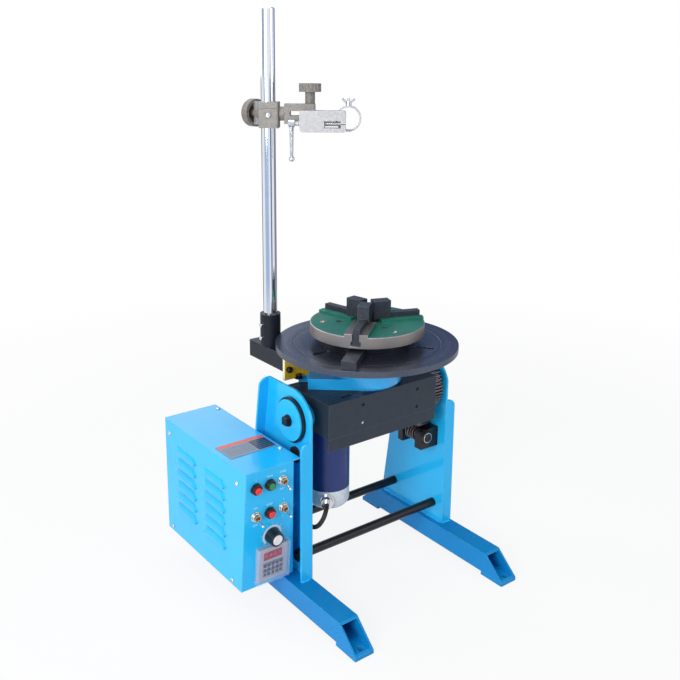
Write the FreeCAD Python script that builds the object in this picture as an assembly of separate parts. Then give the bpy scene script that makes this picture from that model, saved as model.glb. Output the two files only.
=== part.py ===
"""Bench welding positioner: a powered tilting table with a chuck, a control box and a torch stand.

Millimetres, +Z up, +Y to the rear, the operator stands at -Y.  While it is modelled, the table's own
axis is x = y = 0 and the floor is z = 0.  The finished pieces are moved so that the origin lies at the
middle of the footprint.
"""
import FreeCAD, Part
import math
import os
from FreeCAD import Matrix, Placement, Rotation, Vector

# ---------------------------------------------------------------- clearances
RUN = 0.05            # radial running fit of a shaft in its bore
GAP = 0.3             # gap between pieces that move past each other
BOLT_PLAY = 0.5       # diametral play of a bolt in its hole

# ---------------------------------------------------------------- feet
FOOT_W = 36.5
FOOT_H = 37.8
FOOT_WALL = 3.0
PAD_T = 6.5
PAD_L = 50.0
FOOT_FRONT = -217.0
FOOT_REAR = 174.0
FOOT_SLOPE = 42.0     # how much shorter the tube is on top than below, at each end
RIGHT_FOOT_X = 137.3
LEFT_FOOT_X = -190.7
FOOT_HOLE_D = 11.0
FOOT_HOLE_IN = 11.0   # hole centre from the tip

# ---------------------------------------------------------------- side plates
PLATE_T = 4.0
LEFT_PLATE_X = -158.0     # outer faces
RIGHT_PLATE_X = 152.6
FLANGE_W = 18.7           # how far the flanges stand out from the plate's outer face
PLATE_FRONT = -52.0
FLANGE_TOP = 292.6        # top of the front flange
PLATE_REAR_TOP = (75.0, 371.0)
PLATE_REAR_BOTTOM = 124.0
HUB_R = 54.0
FLANGE_CORNER_R = 14.0
GROMMET_AT = (-9.4, 257.6)
GROMMET_R = 11.0
GROMMET_LIP = 3.0

# ---------------------------------------------------------------- tie rods
ROD_R = 8.0
ROD_THREAD_R = 6.0
ROD_AT = ((-25.6, 78.6), (86.8, 78.6))
NUT_AF = 19.0
NUT_H = 10.0
ROD_STICK_OUT = 3.0

# ---------------------------------------------------------------- tilt axis and cradle
TILT_Z = 317.4
CRADLE_LEFT = -127.0
CRADLE_RIGHT = 113.0
CRADLE_DEPTH = 120.0
CRADLE_TOP = 353.0
CRADLE_BOTTOM = 270.0
CRADLE_WALL = 4.0
CRADLE_SEAM_Z = 292.0
CRADLE_SEAM_STEP = 1.0
CRADLE_HOLE_D = 7.0
CRADLE_HOLE_PITCH = 122.0
CRADLE_HOLE_Z = (305.0, 338.0)
TOP_SLOT_AT = (-76.0, -42.0)
TOP_SLOT_L = 27.0
TOP_SLOT_W = 8.0

TRUNNION_R = 12.0
HUB_RING_R = 39.0
HUB_RING_T = 5.5
HUB_DISC_R = 35.4
HUB_DISC_T = 3.0
HUB_BOLT_AF = 13.0
HUB_BOLT_H = 7.0
BOSS_R = 20.0
BOSS_T = 9.0

# ---------------------------------------------------------------- tilt gearing
MODULE = 2.0
WHEEL_TEETH = 48
IDLER_TEETH = 18
WORM_PITCH_R = 12.0
WORM_LENGTH = 33.0
GEAR_FACE = 24.0
GEAR_FREE = 5.0           # wheel to cradle end
TOOTH_SHARE = 0.40        # tooth thickness over circular pitch, at the pitch circle
ADDENDUM = 0.9            # in modules
DEDENDUM = 1.25
IDLER_PIN_R = 8.0
WORM_SHAFT_R = 8.0
WORM_X = 120.0
LUG_FRONT = -33.0
LUG_T = 18.0
REAR_LUG_T = 13.0
LUG_TOP_OVER = 15.0       # lug height above the worm's axis
LUG_BELOW = 22.0
LUG_LEFT = 13.5           # lug width on the far side of the worm's axis
LUG_ROUND = 9.0
BRACKET_BACK_T = 6.0
COLLAR_R = 13.0
COLLAR_T = 2.0
SHAFT_END_OUT = 4.0

# ---------------------------------------------------------------- spindle and table
HOUSING_R = 62.0
HOUSING_H = 42.0
TONGUE_REACH = 100.0
TONGUE_W = 110.0
TONGUE_H = 19.0
HOUSING_UNDERCUT = 5.0
EAR_REACH = 119.0
EAR_H = 13.0
EAR_SPAN = (-40.0, 20.0)   # across the tongue
STAND_TURN = 141.0        # direction of the tongue, from +X
TABLE_TOP = 424.5
TABLE_T = 10.0
TABLE_R = 160.0
GROOVE_R = 128.0
GROOVE_W = 1.2
GROOVE_D = 0.8
SLOT_FIRST = 183.0
SLOT_COUNT = 3
SLOT_FROM_R = 86.0
SLOT_TO_R = 121.0
SLOT_W = 9.0
SPINDLE_R = 17.5
SPINDLE_FLANGE_R = 45.0
BAR_TURN = -140.5
BAR_W = 25.0
BAR_T = 12.0
BAR_RIM_GAP = 13.0        # bar's end to the table's rim

# ---------------------------------------------------------------- chuck
ADAPTER_R = 74.0
ADAPTER_T = 18.0
CHUCK_R = 100.0
CHUCK_T = 19.0
CHUCK_EDGE = 0.8
CHUCK_BORE_R = 20.0
JAW_FIRST = -140.0
JAW_COUNT = 3
JAW_SLOT_W = 12.5         # neck of the T-slot
JAW_BASE_W = 17.5         # foot of the T-slot
JAW_BASE_H = 8.0
SLOT_OVER_FLOOR = 3.5     # iron left under the T-slot
GUIDE_W = 14.0            # bare guide on each side of the slot
GUIDE_H = 4.5
JAW_INNER_R = 9.0         # inner end of the jaw at rest
JAW_L = 87.0
JAW_RISE = 9.0            # carrier above the guides
JAW_BLOCK_L = 31.0
JAW_BLOCK_W = 20.0
JAW_BLOCK_H = 22.5        # tall block above the carrier
JAW_HOLE_R = 1.8
JAW_HOLE_D = 6.0
JAW_HOLE_OUT = (9.0, 29.0)   # from the tall block's outer end
FACE_HOLE_TURN = -72.0        # from each jaw to its face holes
FACE_SCREW_AT = 78.0
FACE_SCREW_R = 4.8
FACE_HOLE_AT = 49.0
FACE_HOLE_R = 5.5
FACE_HOLE_D = 8.0

# ---------------------------------------------------------------- gearmotor
MOTOR_AT = (-83.0, 0.0)
MOTOR_R = 37.0
MOTOR_BOTTOM = 179.0
CAP_H = 36.0
CAP_ROUND = 14.0
GEARBOX_W = 84.0
GEARBOX_H = 44.0
CONNECTOR_TURN = -129.0
CONNECTOR_R = 10.0
CONNECTOR_L = 16.0
CABLE_R = 4.0

# ---------------------------------------------------------------- torch stand
BRACKET_T = 6.0
BRACKET_BACK = 56.0       # rear face of the bracket plate, where the arm begins
BRACKET_PAST_ARM = 21.0   # bracket's left edge beyond the arm
BRACKET_TOP = 404.0
ARM_W = 30.0
ARM_H = 32.0
ARM_PAST_POLE = 48.5
POLE_TURN = 124.735       # direction of the pole, from +X
POLE_TO_RIM = 4.02        # sleeve to the table's rim
POLE_R = 12.5
POLE_TOP = 989.0
SLEEVE_R = 18.5
SLEEVE_H = 60.0
SET_SCREW_R = 4.0
SET_SCREW_UP = (16.0, 40.0)

# ---------------------------------------------------------------- control box
BOX_LEFT = -280.0
BOX_RIGHT = -177.0
BOX_FRONT = -50.0
BOX_REAR = 231.0
BOX_TOP = 272.0
BOX_BOTTOM = 55.0
BOX_WALL = 1.5
PANEL_LEAN = 21.0         # how far the panel's foot stands back from its top
PANEL_INSET = 13.5        # panel's right edge to the lid's edge, at the top
PANEL_INSET_LOW = 2.0     # the same at the bottom
LOUVRE_ROWS = 6
LOUVRE_PITCH = 22.0
LOUVRE_L = 70.0
LOUVRE_H = 9.0
LOUVRE_OUT = 4.0
LOUVRE_Y = (20.0, 120.0)
LOUVRE_LOW_Z = 110.0
SCREW_HEAD_R = 4.0
SCREW_HEAD_H = 2.2
LABEL_X = (-271.0, -181.0)
LABEL_Y = (12.0, 64.0)
LABEL_T = 0.8
BOX_BOSS_Y = (0.0, 70.0)   # bosses that hold the box to the side plate
BOX_BOSS_R = 8.0
ROW_HIGH = 188.0          # control heights, measured up the panel from its foot
ROW_LOW = 136.0
BUTTON_AT = ((-261.0, ROW_HIGH), (-235.0, ROW_HIGH), (-233.0, ROW_LOW))
TOGGLE_AT = ((-210.0, ROW_HIGH), (-259.0, ROW_LOW), (-206.0, ROW_LOW))
COLLAR_BEZEL_R = 8.5
COLLAR_BEZEL_H = 7.0
BUTTON_R = 6.0
BUTTON_OUT = 4.5
BUTTON_TRAVEL = 2.5
TOGGLE_NUT_AF = 14.0
TOGGLE_NUT_T = 2.5
TOGGLE_BUSH_R = 5.5
TOGGLE_BUSH_L = 8.0
TOGGLE_LEVER_R = 1.8
TOGGLE_LEVER_L = 19.0
TOGGLE_SWING = 12.0
TOGGLE_BALL_R = 3.4
KNOB_AT = (-226.0, 91.0)
KNOB_R = 14.0
KNOB_H = 17.0
KNOB_FLUTES = 12
DIAL_R = 16.0
DIAL_T = 0.8
TIMER_AT = (-225.0, 41.0)
TIMER_W = 56.0
TIMER_H = 62.0
TIMER_BEZEL = 6.0
TIMER_DEPTH = 80.0
TIMER_COVER_T = 5.0
TIMER_COVER_WALL = 1.2
BOARD_T = 2.0
BOARD_X = (-262.0, -196.0)
BOARD_Y = (80.0, 200.0)
BOARD_UP = 8.0            # board above the chassis floor
POST_R = 3.0
POST_IN = 6.0             # post from the board's edges
COIL_X = (6.0, 48.0)      # transformer, from the board's corner
COIL_Y = (60.0, 110.0)
COIL_H = 42.0
SINK_X = (10.0, 56.0)     # heat sink, from the board's corner
SINK_Y = (12.0, 40.0)
SINK_H = 24.0
SINK_BASE = 8.0
FIN_COUNT = 5
FIN_GAP = 5.0

# ---------------------------------------------------------------- torch clamp
CLAMP_TURN = -39.0        # the clamp is swung this far round the pole
CLAMP_Z = 790.0           # underside of the clamp block
BLOCK_LEFT = 15.0         # block's faces from the pole's axis
BLOCK_RIGHT = 19.0
BLOCK_D = 36.0
BLOCK_H = 44.0
BLOCK_ROUND = 3.0
BLOCK_JOINT_UP = 33.0     # joint line in front, above the underside
BLOCK_SCREW_AT = (2.0, 22.0)
BLOCK_SCREW_R = 4.5
BLOCK_SCREW_OUT = 2.5
ARM_AXIS_UP = 24.0        # axis of the hand knob and of the arm's swivel
ARM_PIN_R = 7.0
ARM_PIN_L = 16.0
KNOB_SWING = -42.0        # direction of the hand knob's screw, from the block's left
NECK_R = 9.0
JAW_PLATE_AT = 24.5       # from the pole's axis
JAW_PLATE_T = 5.0
JAW_PLATE_W = 14.0
JAW_PLATE_H = 40.0
STUD_R = 4.0
STUD_END = 62.0
HAND_KNOB_R = 24.0
HAND_KNOB_L = 16.0
HAND_KNOB_WEB = 5.0
HAND_KNOB_RIM = 6.0
HAND_KNOB_HUB_R = 8.0
HAND_KNOB_ROUND = 4.0
TORCH_ARM_END = 81.0
TORCH_ARM_D = 22.0
TORCH_ARM_Z = (7.0, 41.0)
TORCH_ARM_WALL = 10.0
SWIVEL_R = 12.0
SWIVEL_L = 9.0
FORK_Z = (21.0, 29.0)
FORK_PLAY = 0.1
ARM_STUD_X = 72.0
ARM_STUD_R = 5.0
ARM_STUD_TOP = 60.0
ARM_KNOB_R = 19.0
ARM_KNOB_H = 14.0
ARM_KNOB_STEM_R = 8.5
ARM_KNOB_STEM = 20.0
ARM_KNOB_GRIPS = 16
GRIP_R = 1.6
HOLDER_FROM = 56.0
HOLDER_TO = 134.0
HOLDER_D = 24.0
HOLDER_TOP = 31.0         # above the clamp block's underside
HOLDER_H = 36.0
HOLDER_ROUND = 4.0
HOLDER_PIN_X = 60.0
HOLDER_PIN_HEAD = 3.0
WINDOW_X = (98.0, 126.0)
WINDOW_Z = (2.0, 14.5)
SPLIT_Z = (8.0, 10.5)
SCREW_R = 4.0
SCREW_UP = 9.0            # holder's screw
SCREW_PAST = 20.0         # how far it stands out for the lever
LEVER_IN = 14.0           # lever's hub from the holder's face
LEVER_HUB_R = 6.5
LEVER_HUB_W = 10.0
LEVER_L = 60.0
LEVER_BALL_R = 5.0
LEVER_THICK = (3.6, 2.6)
STRAP_R = 22.0
STRAP_T = 3.0
STRAP_W = 14.0
STRAP_PAST = 4.0          # ring's centre beyond the holder's end
STRAP_UP = 17.0
STRAP_STUD_R = 2.5
STRAP_STUD_L = 12.0
WING_HUB_R = 5.0
WING_HUB_H = 7.0
WING_T = 2.4
WING_OUTLINE = ((2.0, 1.0), (12.0, 9.0), (10.0, 13.0), (3.0, 7.0))


# ================================================================ helpers
def block(x0, x1, y0, y1, z0, z1):
    return Part.makeBox(x1 - x0, y1 - y0, z1 - z0, Vector(x0, y0, z0))


def rod(radius, start, end):
    start = Vector(*start)
    along = Vector(*end) - start
    return Part.makeCylinder(radius, along.Length, start, along)


def tube(outer, inner, start, end):
    return rod(outer, start, end).cut(rod(inner, start, end))


def prism(points, along):
    """Solid from a flat outline and the vector it is drawn out along."""
    corners = [Vector(*p) for p in points]
    wire = Part.makePolygon(corners + corners[:1])
    return Part.Face(wire).extrude(Vector(*along))


def hexagon(across_flats, centre, along, height):
    """Hexagonal prism that starts at centre and runs along the axis 'X', 'Y' or 'Z'."""
    outline = []
    for k in range(6):
        turn = math.radians(60 * k)
        a = across_flats / math.sqrt(3) * math.cos(turn)
        b = across_flats / math.sqrt(3) * math.sin(turn)
        x, y, z = centre
        outline.append({"X": (x, y + a, z + b), "Y": (x + a, y, z + b), "Z": (x + a, y + b, z)}[along])
    return prism(outline, {"X": (height, 0, 0), "Y": (0, height, 0), "Z": (0, 0, height)}[along])


def turned(shape, degrees, centre=(0, 0, 0), axis=(0, 0, 1)):
    copy = shape.copy()
    copy.rotate(Vector(*centre), Vector(*axis), degrees)
    return copy


def moved(shape, x, y, z):
    copy = shape.copy()
    copy.translate(Vector(x, y, z))
    return copy


def group(solids):
    return Part.makeCompound(solids)


PIECES = {}


def keep(name, shape):
    PIECES[name] = shape


# ================================================================ feet
def foot(x0):
    """Rectangular tube along Y with both ends cut on a slope, so the floor side runs to the tip."""
    top = PAD_T + FOOT_H
    side = [(x0, FOOT_FRONT, PAD_T), (x0, FOOT_REAR, PAD_T),
            (x0, FOOT_REAR - FOOT_SLOPE, top), (x0, FOOT_FRONT + FOOT_SLOPE, top)]
    body = prism(side, (FOOT_W, 0, 0))
    body = body.cut(block(x0 + FOOT_WALL, x0 + FOOT_W - FOOT_WALL, FOOT_FRONT, FOOT_REAR,
                          PAD_T + FOOT_WALL, top - FOOT_WALL))
    for y in (FOOT_FRONT + FOOT_HOLE_IN, FOOT_REAR - FOOT_HOLE_IN):
        body = body.cut(rod(FOOT_HOLE_D / 2, (x0 + FOOT_W / 2, y, 0), (x0 + FOOT_W / 2, y, PAD_T + 2 * FOOT_WALL)))
    return body


def foot_pads():
    pads = []
    for x0 in (LEFT_FOOT_X, RIGHT_FOOT_X):
        for y0, hole in ((FOOT_FRONT, FOOT_FRONT + FOOT_HOLE_IN), (FOOT_REAR - PAD_L, FOOT_REAR - FOOT_HOLE_IN)):
            pad = block(x0, x0 + FOOT_W, y0, y0 + PAD_L, 0, PAD_T)
            pads.append(pad.cut(rod(FOOT_HOLE_D / 2, (x0 + FOOT_W / 2, hole, 0), (x0 + FOOT_W / 2, hole, PAD_T))))
    return group(pads)


# ================================================================ side plates
FOOT_TOP = PAD_T + FOOT_H
REAR_RUN = Vector(0, PLATE_REAR_TOP[0] - PLATE_REAR_BOTTOM, PLATE_REAR_TOP[1] - FOOT_TOP)


def plate_outline(x):
    """Side plate: upright front edge, round hub, level top and a rear edge that leans forward."""
    hub = Vector(x, 0, TILT_Z)
    front_drop = math.sqrt(HUB_R ** 2 - PLATE_FRONT ** 2)
    meet = Vector(x, PLATE_FRONT, TILT_Z + front_drop)
    top = Vector(x, 0, TILT_Z + HUB_R)
    middle = hub + Vector(0, -HUB_R * math.sin(math.radians(35)), HUB_R * math.cos(math.radians(35)))
    rear_top = Vector(x, *PLATE_REAR_TOP)
    rear_low = Vector(x, PLATE_REAR_BOTTOM, FOOT_TOP)
    front_low = Vector(x, PLATE_FRONT, FOOT_TOP)
    edges = [Part.LineSegment(front_low, meet).toShape(),
             Part.Arc(meet, middle, top).toShape(),
             Part.LineSegment(top, rear_top).toShape(),
             Part.LineSegment(rear_top, rear_low).toShape(),
             Part.LineSegment(rear_low, front_low).toShape()]
    return Part.Face(Part.Wire(edges))


def rounded_tab(width, height, thickness):
    """Flat strip from the origin along +X, its free top corner rounded, thickness along +Y."""
    strip = block(0, width, 0, thickness, 0, height)
    edge = [e for e in strip.Edges
            if abs(e.CenterOfMass.x - width) < 1e-6 and abs(e.CenterOfMass.z - height) < 1e-6]
    return strip.makeFillet(min(FLANGE_CORNER_R, 0.9 * width), edge)


def side_plate(outer_x, outward):
    """One bent sheet: plate, front flange and rear flange.  outward is -1 on the left, +1 on the right."""
    inner_x = outer_x - outward * PLATE_T
    plate = plate_outline(inner_x).extrude(Vector(outward * PLATE_T, 0, 0))
    front = rounded_tab(FLANGE_W + PLATE_T, FLANGE_TOP - FOOT_TOP, PLATE_T)
    rear = rounded_tab(FLANGE_W + PLATE_T, REAR_RUN.Length, PLATE_T)
    lean = math.degrees(math.atan2(-REAR_RUN.y, REAR_RUN.z))
    rear = turned(moved(rear, 0, -PLATE_T, 0), lean, axis=(1, 0, 0))
    for strip, y in ((front, PLATE_FRONT), (rear, PLATE_REAR_BOTTOM)):
        if outward < 0:
            strip = strip.mirror(Vector(0, 0, 0), Vector(1, 0, 0))
        plate = plate.fuse(moved(strip, inner_x, y, FOOT_TOP))
    plate = plate.cut(block(outer_x - 50, outer_x + 50, PLATE_FRONT - 50, PLATE_REAR_BOTTOM + 50,
                            FOOT_TOP - 50, FOOT_TOP))
    for y, z in ROD_AT:
        plate = plate.cut(rod(ROD_THREAD_R + BOLT_PLAY / 2, (inner_x - 60, y, z), (inner_x + 60, y, z)))
    return plate.removeSplitter()


def side_plate_left():
    plate = side_plate(LEFT_PLATE_X, -1)
    plate = plate.cut(rod(GROMMET_R, (LEFT_PLATE_X - 10, *GROMMET_AT), (LEFT_PLATE_X + 10, *GROMMET_AT)))
    return plate.cut(rod(TRUNNION_R + 2, (LEFT_PLATE_X - 10, 0, TILT_Z), (LEFT_PLATE_X + 10, 0, TILT_Z)))


def side_plate_right():
    inner = RIGHT_PLATE_X - PLATE_T
    plate = side_plate(RIGHT_PLATE_X, 1)
    boss = rod(BOSS_R, (RIGHT_PLATE_X, 0, TILT_Z), (RIGHT_PLATE_X + BOSS_T, 0, TILT_Z))
    plate = plate.fuse(boss)
    plate = plate.cut(rod(TRUNNION_R + RUN, (inner - 10, 0, TILT_Z), (RIGHT_PLATE_X + BOSS_T + 10, 0, TILT_Z)))
    pin_x0 = CRADLE_RIGHT + GEAR_FREE
    pin = rod(IDLER_PIN_R, (pin_x0, 0, IDLER_Z), (inner, 0, IDLER_Z))
    return plate.fuse(pin).removeSplitter()


def grommet():
    """Rubber ring in the cable hole, with a lip on both faces of the plate."""
    y, z = GROMMET_AT
    outer, inner = LEFT_PLATE_X, LEFT_PLATE_X + PLATE_T
    ring = rod(GROMMET_R, (outer, y, z), (inner, y, z))
    for x0, x1 in ((outer - GROMMET_LIP, outer), (inner, inner + GROMMET_LIP)):
        ring = ring.fuse(rod(GROMMET_R + GROMMET_LIP, (x0, y, z), (x1, y, z)))
    return ring.cut(rod(CABLE_R, (outer - 20, y, z), (inner + 20, y, z))).removeSplitter()


# ================================================================ tie rods
def tie_rods():
    rods = []
    left, right = LEFT_PLATE_X + PLATE_T, RIGHT_PLATE_X - PLATE_T
    reach = PLATE_T + NUT_H + ROD_STICK_OUT
    for y, z in ROD_AT:
        bar = rod(ROD_R, (left, y, z), (right, y, z))
        rods.append(bar.fuse(rod(ROD_THREAD_R, (left - reach, y, z), (right + reach, y, z))).removeSplitter())
    return group(rods)


def tie_rod_nuts():
    nuts = []
    for y, z in ROD_AT:
        for x in (LEFT_PLATE_X - NUT_H, RIGHT_PLATE_X):
            nut = hexagon(NUT_AF, (x, y, z), "X", NUT_H)
            nuts.append(nut.cut(rod(ROD_THREAD_R, (x, y, z), (x + NUT_H, y, z))))
    return group(nuts)


# ================================================================ gears
WHEEL_PITCH_R = MODULE * WHEEL_TEETH / 2
IDLER_PITCH_R = MODULE * IDLER_TEETH / 2
IDLER_Z = TILT_Z - WHEEL_PITCH_R - IDLER_PITCH_R
WORM_Z = IDLER_Z - IDLER_PITCH_R - WORM_PITCH_R
GEAR_X0 = CRADLE_RIGHT + GEAR_FREE
GEAR_X1 = GEAR_X0 + GEAR_FACE
PITCH = math.pi * MODULE


def gear(teeth, centre_z, first_tooth, x0, x1):
    """Spur gear about X through (y=0, z=centre_z).  first_tooth is the angle of one tooth, from +Y."""
    pitch_r = MODULE * teeth / 2
    tip_r = pitch_r + ADDENDUM * MODULE
    root_r = pitch_r - DEDENDUM * MODULE
    half = TOOTH_SHARE * PITCH / 2
    lean = math.tan(math.radians(20))
    outline = []
    for k in range(teeth):
        middle = first_tooth + 2 * math.pi * k / teeth
        for radius, side in ((root_r, -1), (tip_r, -1), (tip_r, 1), (root_r, 1)):
            width = half - (radius - pitch_r) * lean
            turn = middle + side * width / radius
            outline.append((x0, radius * math.cos(turn), centre_z + radius * math.sin(turn)))
    return prism(outline, (x1 - x0, 0, 0))


def worm_wheel():
    """Gear and its shaft in one piece: the shaft is welded to the cradle and turns in the right plate."""
    down = -math.pi / 2
    wheel = gear(WHEEL_TEETH, TILT_Z, down, GEAR_X0, GEAR_X1)
    shaft = rod(TRUNNION_R, (CRADLE_RIGHT, 0, TILT_Z), (RIGHT_PLATE_X + BOSS_T + 2, 0, TILT_Z))
    hub = rod(TRUNNION_R + 8, (CRADLE_RIGHT, 0, TILT_Z), (RIGHT_PLATE_X - PLATE_T - GAP, 0, TILT_Z))
    return wheel.fuse([hub, shaft]).removeSplitter()


def idler_gear():
    up = math.pi / 2
    half_step = math.pi / IDLER_TEETH
    body = gear(IDLER_TEETH, IDLER_Z, up + half_step, GEAR_X0, GEAR_X1)
    body = body.fuse(rod(IDLER_PIN_R + 3, (GEAR_X1, 0, IDLER_Z), (RIGHT_PLATE_X - PLATE_T - GAP, 0, IDLER_Z)))
    return body.cut(rod(IDLER_PIN_R + RUN, (GEAR_X0 - 1, 0, IDLER_Z), (RIGHT_PLATE_X, 0, IDLER_Z)))


LUG_BACK = LUG_FRONT + LUG_T
WORM_Y0 = LUG_BACK + GAP
REAR_LUG_Y = WORM_Y0 + WORM_LENGTH + GAP


def worm_shaft():
    """Shaft along Y with a single-start worm between the lugs."""
    start = (WORM_X, LUG_FRONT - SHAFT_END_OUT, WORM_Z)
    end = (WORM_X, REAR_LUG_Y + REAR_LUG_T, WORM_Z)
    root_r = WORM_PITCH_R - DEDENDUM * MODULE
    tip_r = WORM_PITCH_R + ADDENDUM * MODULE
    shaft = rod(WORM_SHAFT_R, start, end)
    core = rod(root_r, (WORM_X, WORM_Y0, WORM_Z), (WORM_X, WORM_Y0 + WORM_LENGTH, WORM_Z))
    collar = rod(COLLAR_R, (WORM_X, LUG_FRONT - GAP - COLLAR_T, WORM_Z), (WORM_X, LUG_FRONT - GAP, WORM_Z))
    shaft = shaft.fuse([core, collar])
    socket = rod(3, start, (WORM_X, start[1] + 6, WORM_Z))
    return shaft.fuse(worm_thread(root_r, tip_r)).cut(socket).removeSplitter()


def worm_thread(root_r, tip_r):
    """Single-start helical thread round the worm's core."""
    half_root = TOOTH_SHARE * PITCH / 2 + (WORM_PITCH_R - root_r) * math.tan(math.radians(20))
    # A crest meets the gap at the idler's foot, three quarters of a turn after the thread's start.
    first = -0.75 * PITCH
    while first - PITCH - half_root > WORM_Y0:
        first -= PITCH
    turns = math.floor((WORM_Y0 + WORM_LENGTH - half_root - first) / PITCH)
    length = turns * PITCH
    helix = Part.makeHelix(PITCH, length, root_r)
    half_tip = TOOTH_SHARE * PITCH / 2 - (tip_r - WORM_PITCH_R) * math.tan(math.radians(20))
    sunk = 0.4
    profile = Part.makePolygon([Vector(root_r - sunk, 0, -half_root), Vector(tip_r, 0, -half_tip),
                                Vector(tip_r, 0, half_tip), Vector(root_r - sunk, 0, half_root),
                                Vector(root_r - sunk, 0, -half_root)])
    thread = Part.Wire(helix).makePipeShell([profile], True, True)
    thread.rotate(Vector(0, 0, 0), Vector(1, 0, 0), -90)
    thread.translate(Vector(WORM_X, first, WORM_Z))
    return thread


def worm_bracket():
    """Casting on the right plate with two lugs that carry the worm shaft."""
    inner = RIGHT_PLATE_X - PLATE_T
    z0, z1 = WORM_Z - LUG_BELOW, WORM_Z + LUG_TOP_OVER
    x0 = WORM_X - LUG_LEFT
    rear_y = REAR_LUG_Y + REAR_LUG_T
    body = block(inner - BRACKET_BACK_T, inner, LUG_FRONT, rear_y, z0, z1)
    for y0, depth in ((LUG_FRONT, LUG_T), (REAR_LUG_Y, REAR_LUG_T)):
        lug = block(x0, inner, y0, y0 + depth, z0, z1)
        edge = [e for e in lug.Edges if abs(e.CenterOfMass.x - x0) < 1e-6 and abs(e.CenterOfMass.z - z1) < 1e-6]
        body = body.fuse(lug.makeFillet(LUG_ROUND, edge))
    bore = rod(WORM_SHAFT_R + RUN, (WORM_X, LUG_FRONT - 1, WORM_Z), (WORM_X, rear_y + 1, WORM_Z))
    return body.cut(bore).removeSplitter()


# ================================================================ cradle
def cradle_shell():
    """Bent-sheet box that is open below: front, rear, top and two ends."""
    y0, y1 = -CRADLE_DEPTH / 2, CRADLE_DEPTH / 2
    wall = CRADLE_WALL
    shell = block(CRADLE_LEFT, CRADLE_RIGHT, y0, y1, CRADLE_BOTTOM, CRADLE_TOP)
    shell = shell.cut(block(CRADLE_LEFT + wall, CRADLE_RIGHT - wall, y0 + wall, y1 - wall,
                            CRADLE_BOTTOM, CRADLE_TOP - wall))
    for low, high in ((y0, y0 + CRADLE_SEAM_STEP), (y1 - CRADLE_SEAM_STEP, y1)):
        shell = shell.cut(block(CRADLE_LEFT, CRADLE_RIGHT, low, high, CRADLE_BOTTOM, CRADLE_SEAM_Z))
    shell = shell.cut(block(CRADLE_LEFT, CRADLE_LEFT + wall, y0 + wall, y1 - wall,
                            CRADLE_BOTTOM, TILT_Z - TRUNNION_R - 12))
    middle = (CRADLE_LEFT + CRADLE_RIGHT) / 2 + 13.5
    for x in (middle - CRADLE_HOLE_PITCH / 2, middle + CRADLE_HOLE_PITCH / 2):
        for z in CRADLE_HOLE_Z:
            shell = shell.cut(rod(CRADLE_HOLE_D / 2, (x, y0 - 1, z), (x, y1 + 1, z)))
    x, y = TOP_SLOT_AT
    half = (TOP_SLOT_L - TOP_SLOT_W) / 2
    slot = block(x - half, x + half, y - TOP_SLOT_W / 2, y + TOP_SLOT_W / 2, CRADLE_TOP - wall, CRADLE_TOP)
    for end in (x - half, x + half):
        slot = slot.fuse(rod(TOP_SLOT_W / 2, (end, y, CRADLE_TOP - wall), (end, y, CRADLE_TOP)))
    shell = shell.cut(slot)
    shell = shell.cut(rod(SPINDLE_R + 3, (0, 0, CRADLE_TOP - wall), (0, 0, CRADLE_TOP)))
    return shell.removeSplitter()


def trunnion_left():
    """Left stub shaft, from the cradle's end wall to the disc outside the left plate."""
    disc_x = LEFT_PLATE_X - HUB_RING_T - GAP
    shaft = rod(TRUNNION_R, (CRADLE_LEFT, 0, TILT_Z), (disc_x, 0, TILT_Z))
    disc = rod(HUB_DISC_R, (disc_x, 0, TILT_Z), (disc_x - HUB_DISC_T, 0, TILT_Z))
    flange = rod(TRUNNION_R + 8, (CRADLE_LEFT, 0, TILT_Z), (LEFT_PLATE_X + PLATE_T + GAP, 0, TILT_Z))
    return shaft.fuse([disc, flange]).removeSplitter()


def hub_bolt():
    x0 = LEFT_PLATE_X - HUB_RING_T - GAP - HUB_DISC_T
    half = HUB_BOLT_AF / 2
    washer = rod(HUB_BOLT_AF * 0.8, (x0, 0, TILT_Z), (x0 - 2, 0, TILT_Z))
    head = block(x0 - 2 - HUB_BOLT_H, x0 - 2, -half, half, TILT_Z - half, TILT_Z + half)
    return washer.fuse(head).removeSplitter()


def hub_ring():
    """Flanged bearing ring on the left plate, with a register in the plate's hole."""
    face = tube(HUB_RING_R, TRUNNION_R + RUN, (LEFT_PLATE_X - HUB_RING_T, 0, TILT_Z), (LEFT_PLATE_X, 0, TILT_Z))
    register = tube(TRUNNION_R + 2, TRUNNION_R + RUN, (LEFT_PLATE_X, 0, TILT_Z),
                    (LEFT_PLATE_X + PLATE_T, 0, TILT_Z))
    return face.fuse(register).removeSplitter()


# ================================================================ spindle and table
TABLE_UNDER = TABLE_TOP - TABLE_T
HOUSING_TOP = CRADLE_TOP + HOUSING_H
CHUCK_BOTTOM = TABLE_TOP + ADAPTER_T
CHUCK_TOP = CHUCK_BOTTOM + CHUCK_T
GUIDE_TOP = CHUCK_TOP + GUIDE_H
SLOT_FLOOR = CHUCK_BOTTOM + SLOT_OVER_FLOOR
CARRIER_TOP = GUIDE_TOP + JAW_RISE


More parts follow.
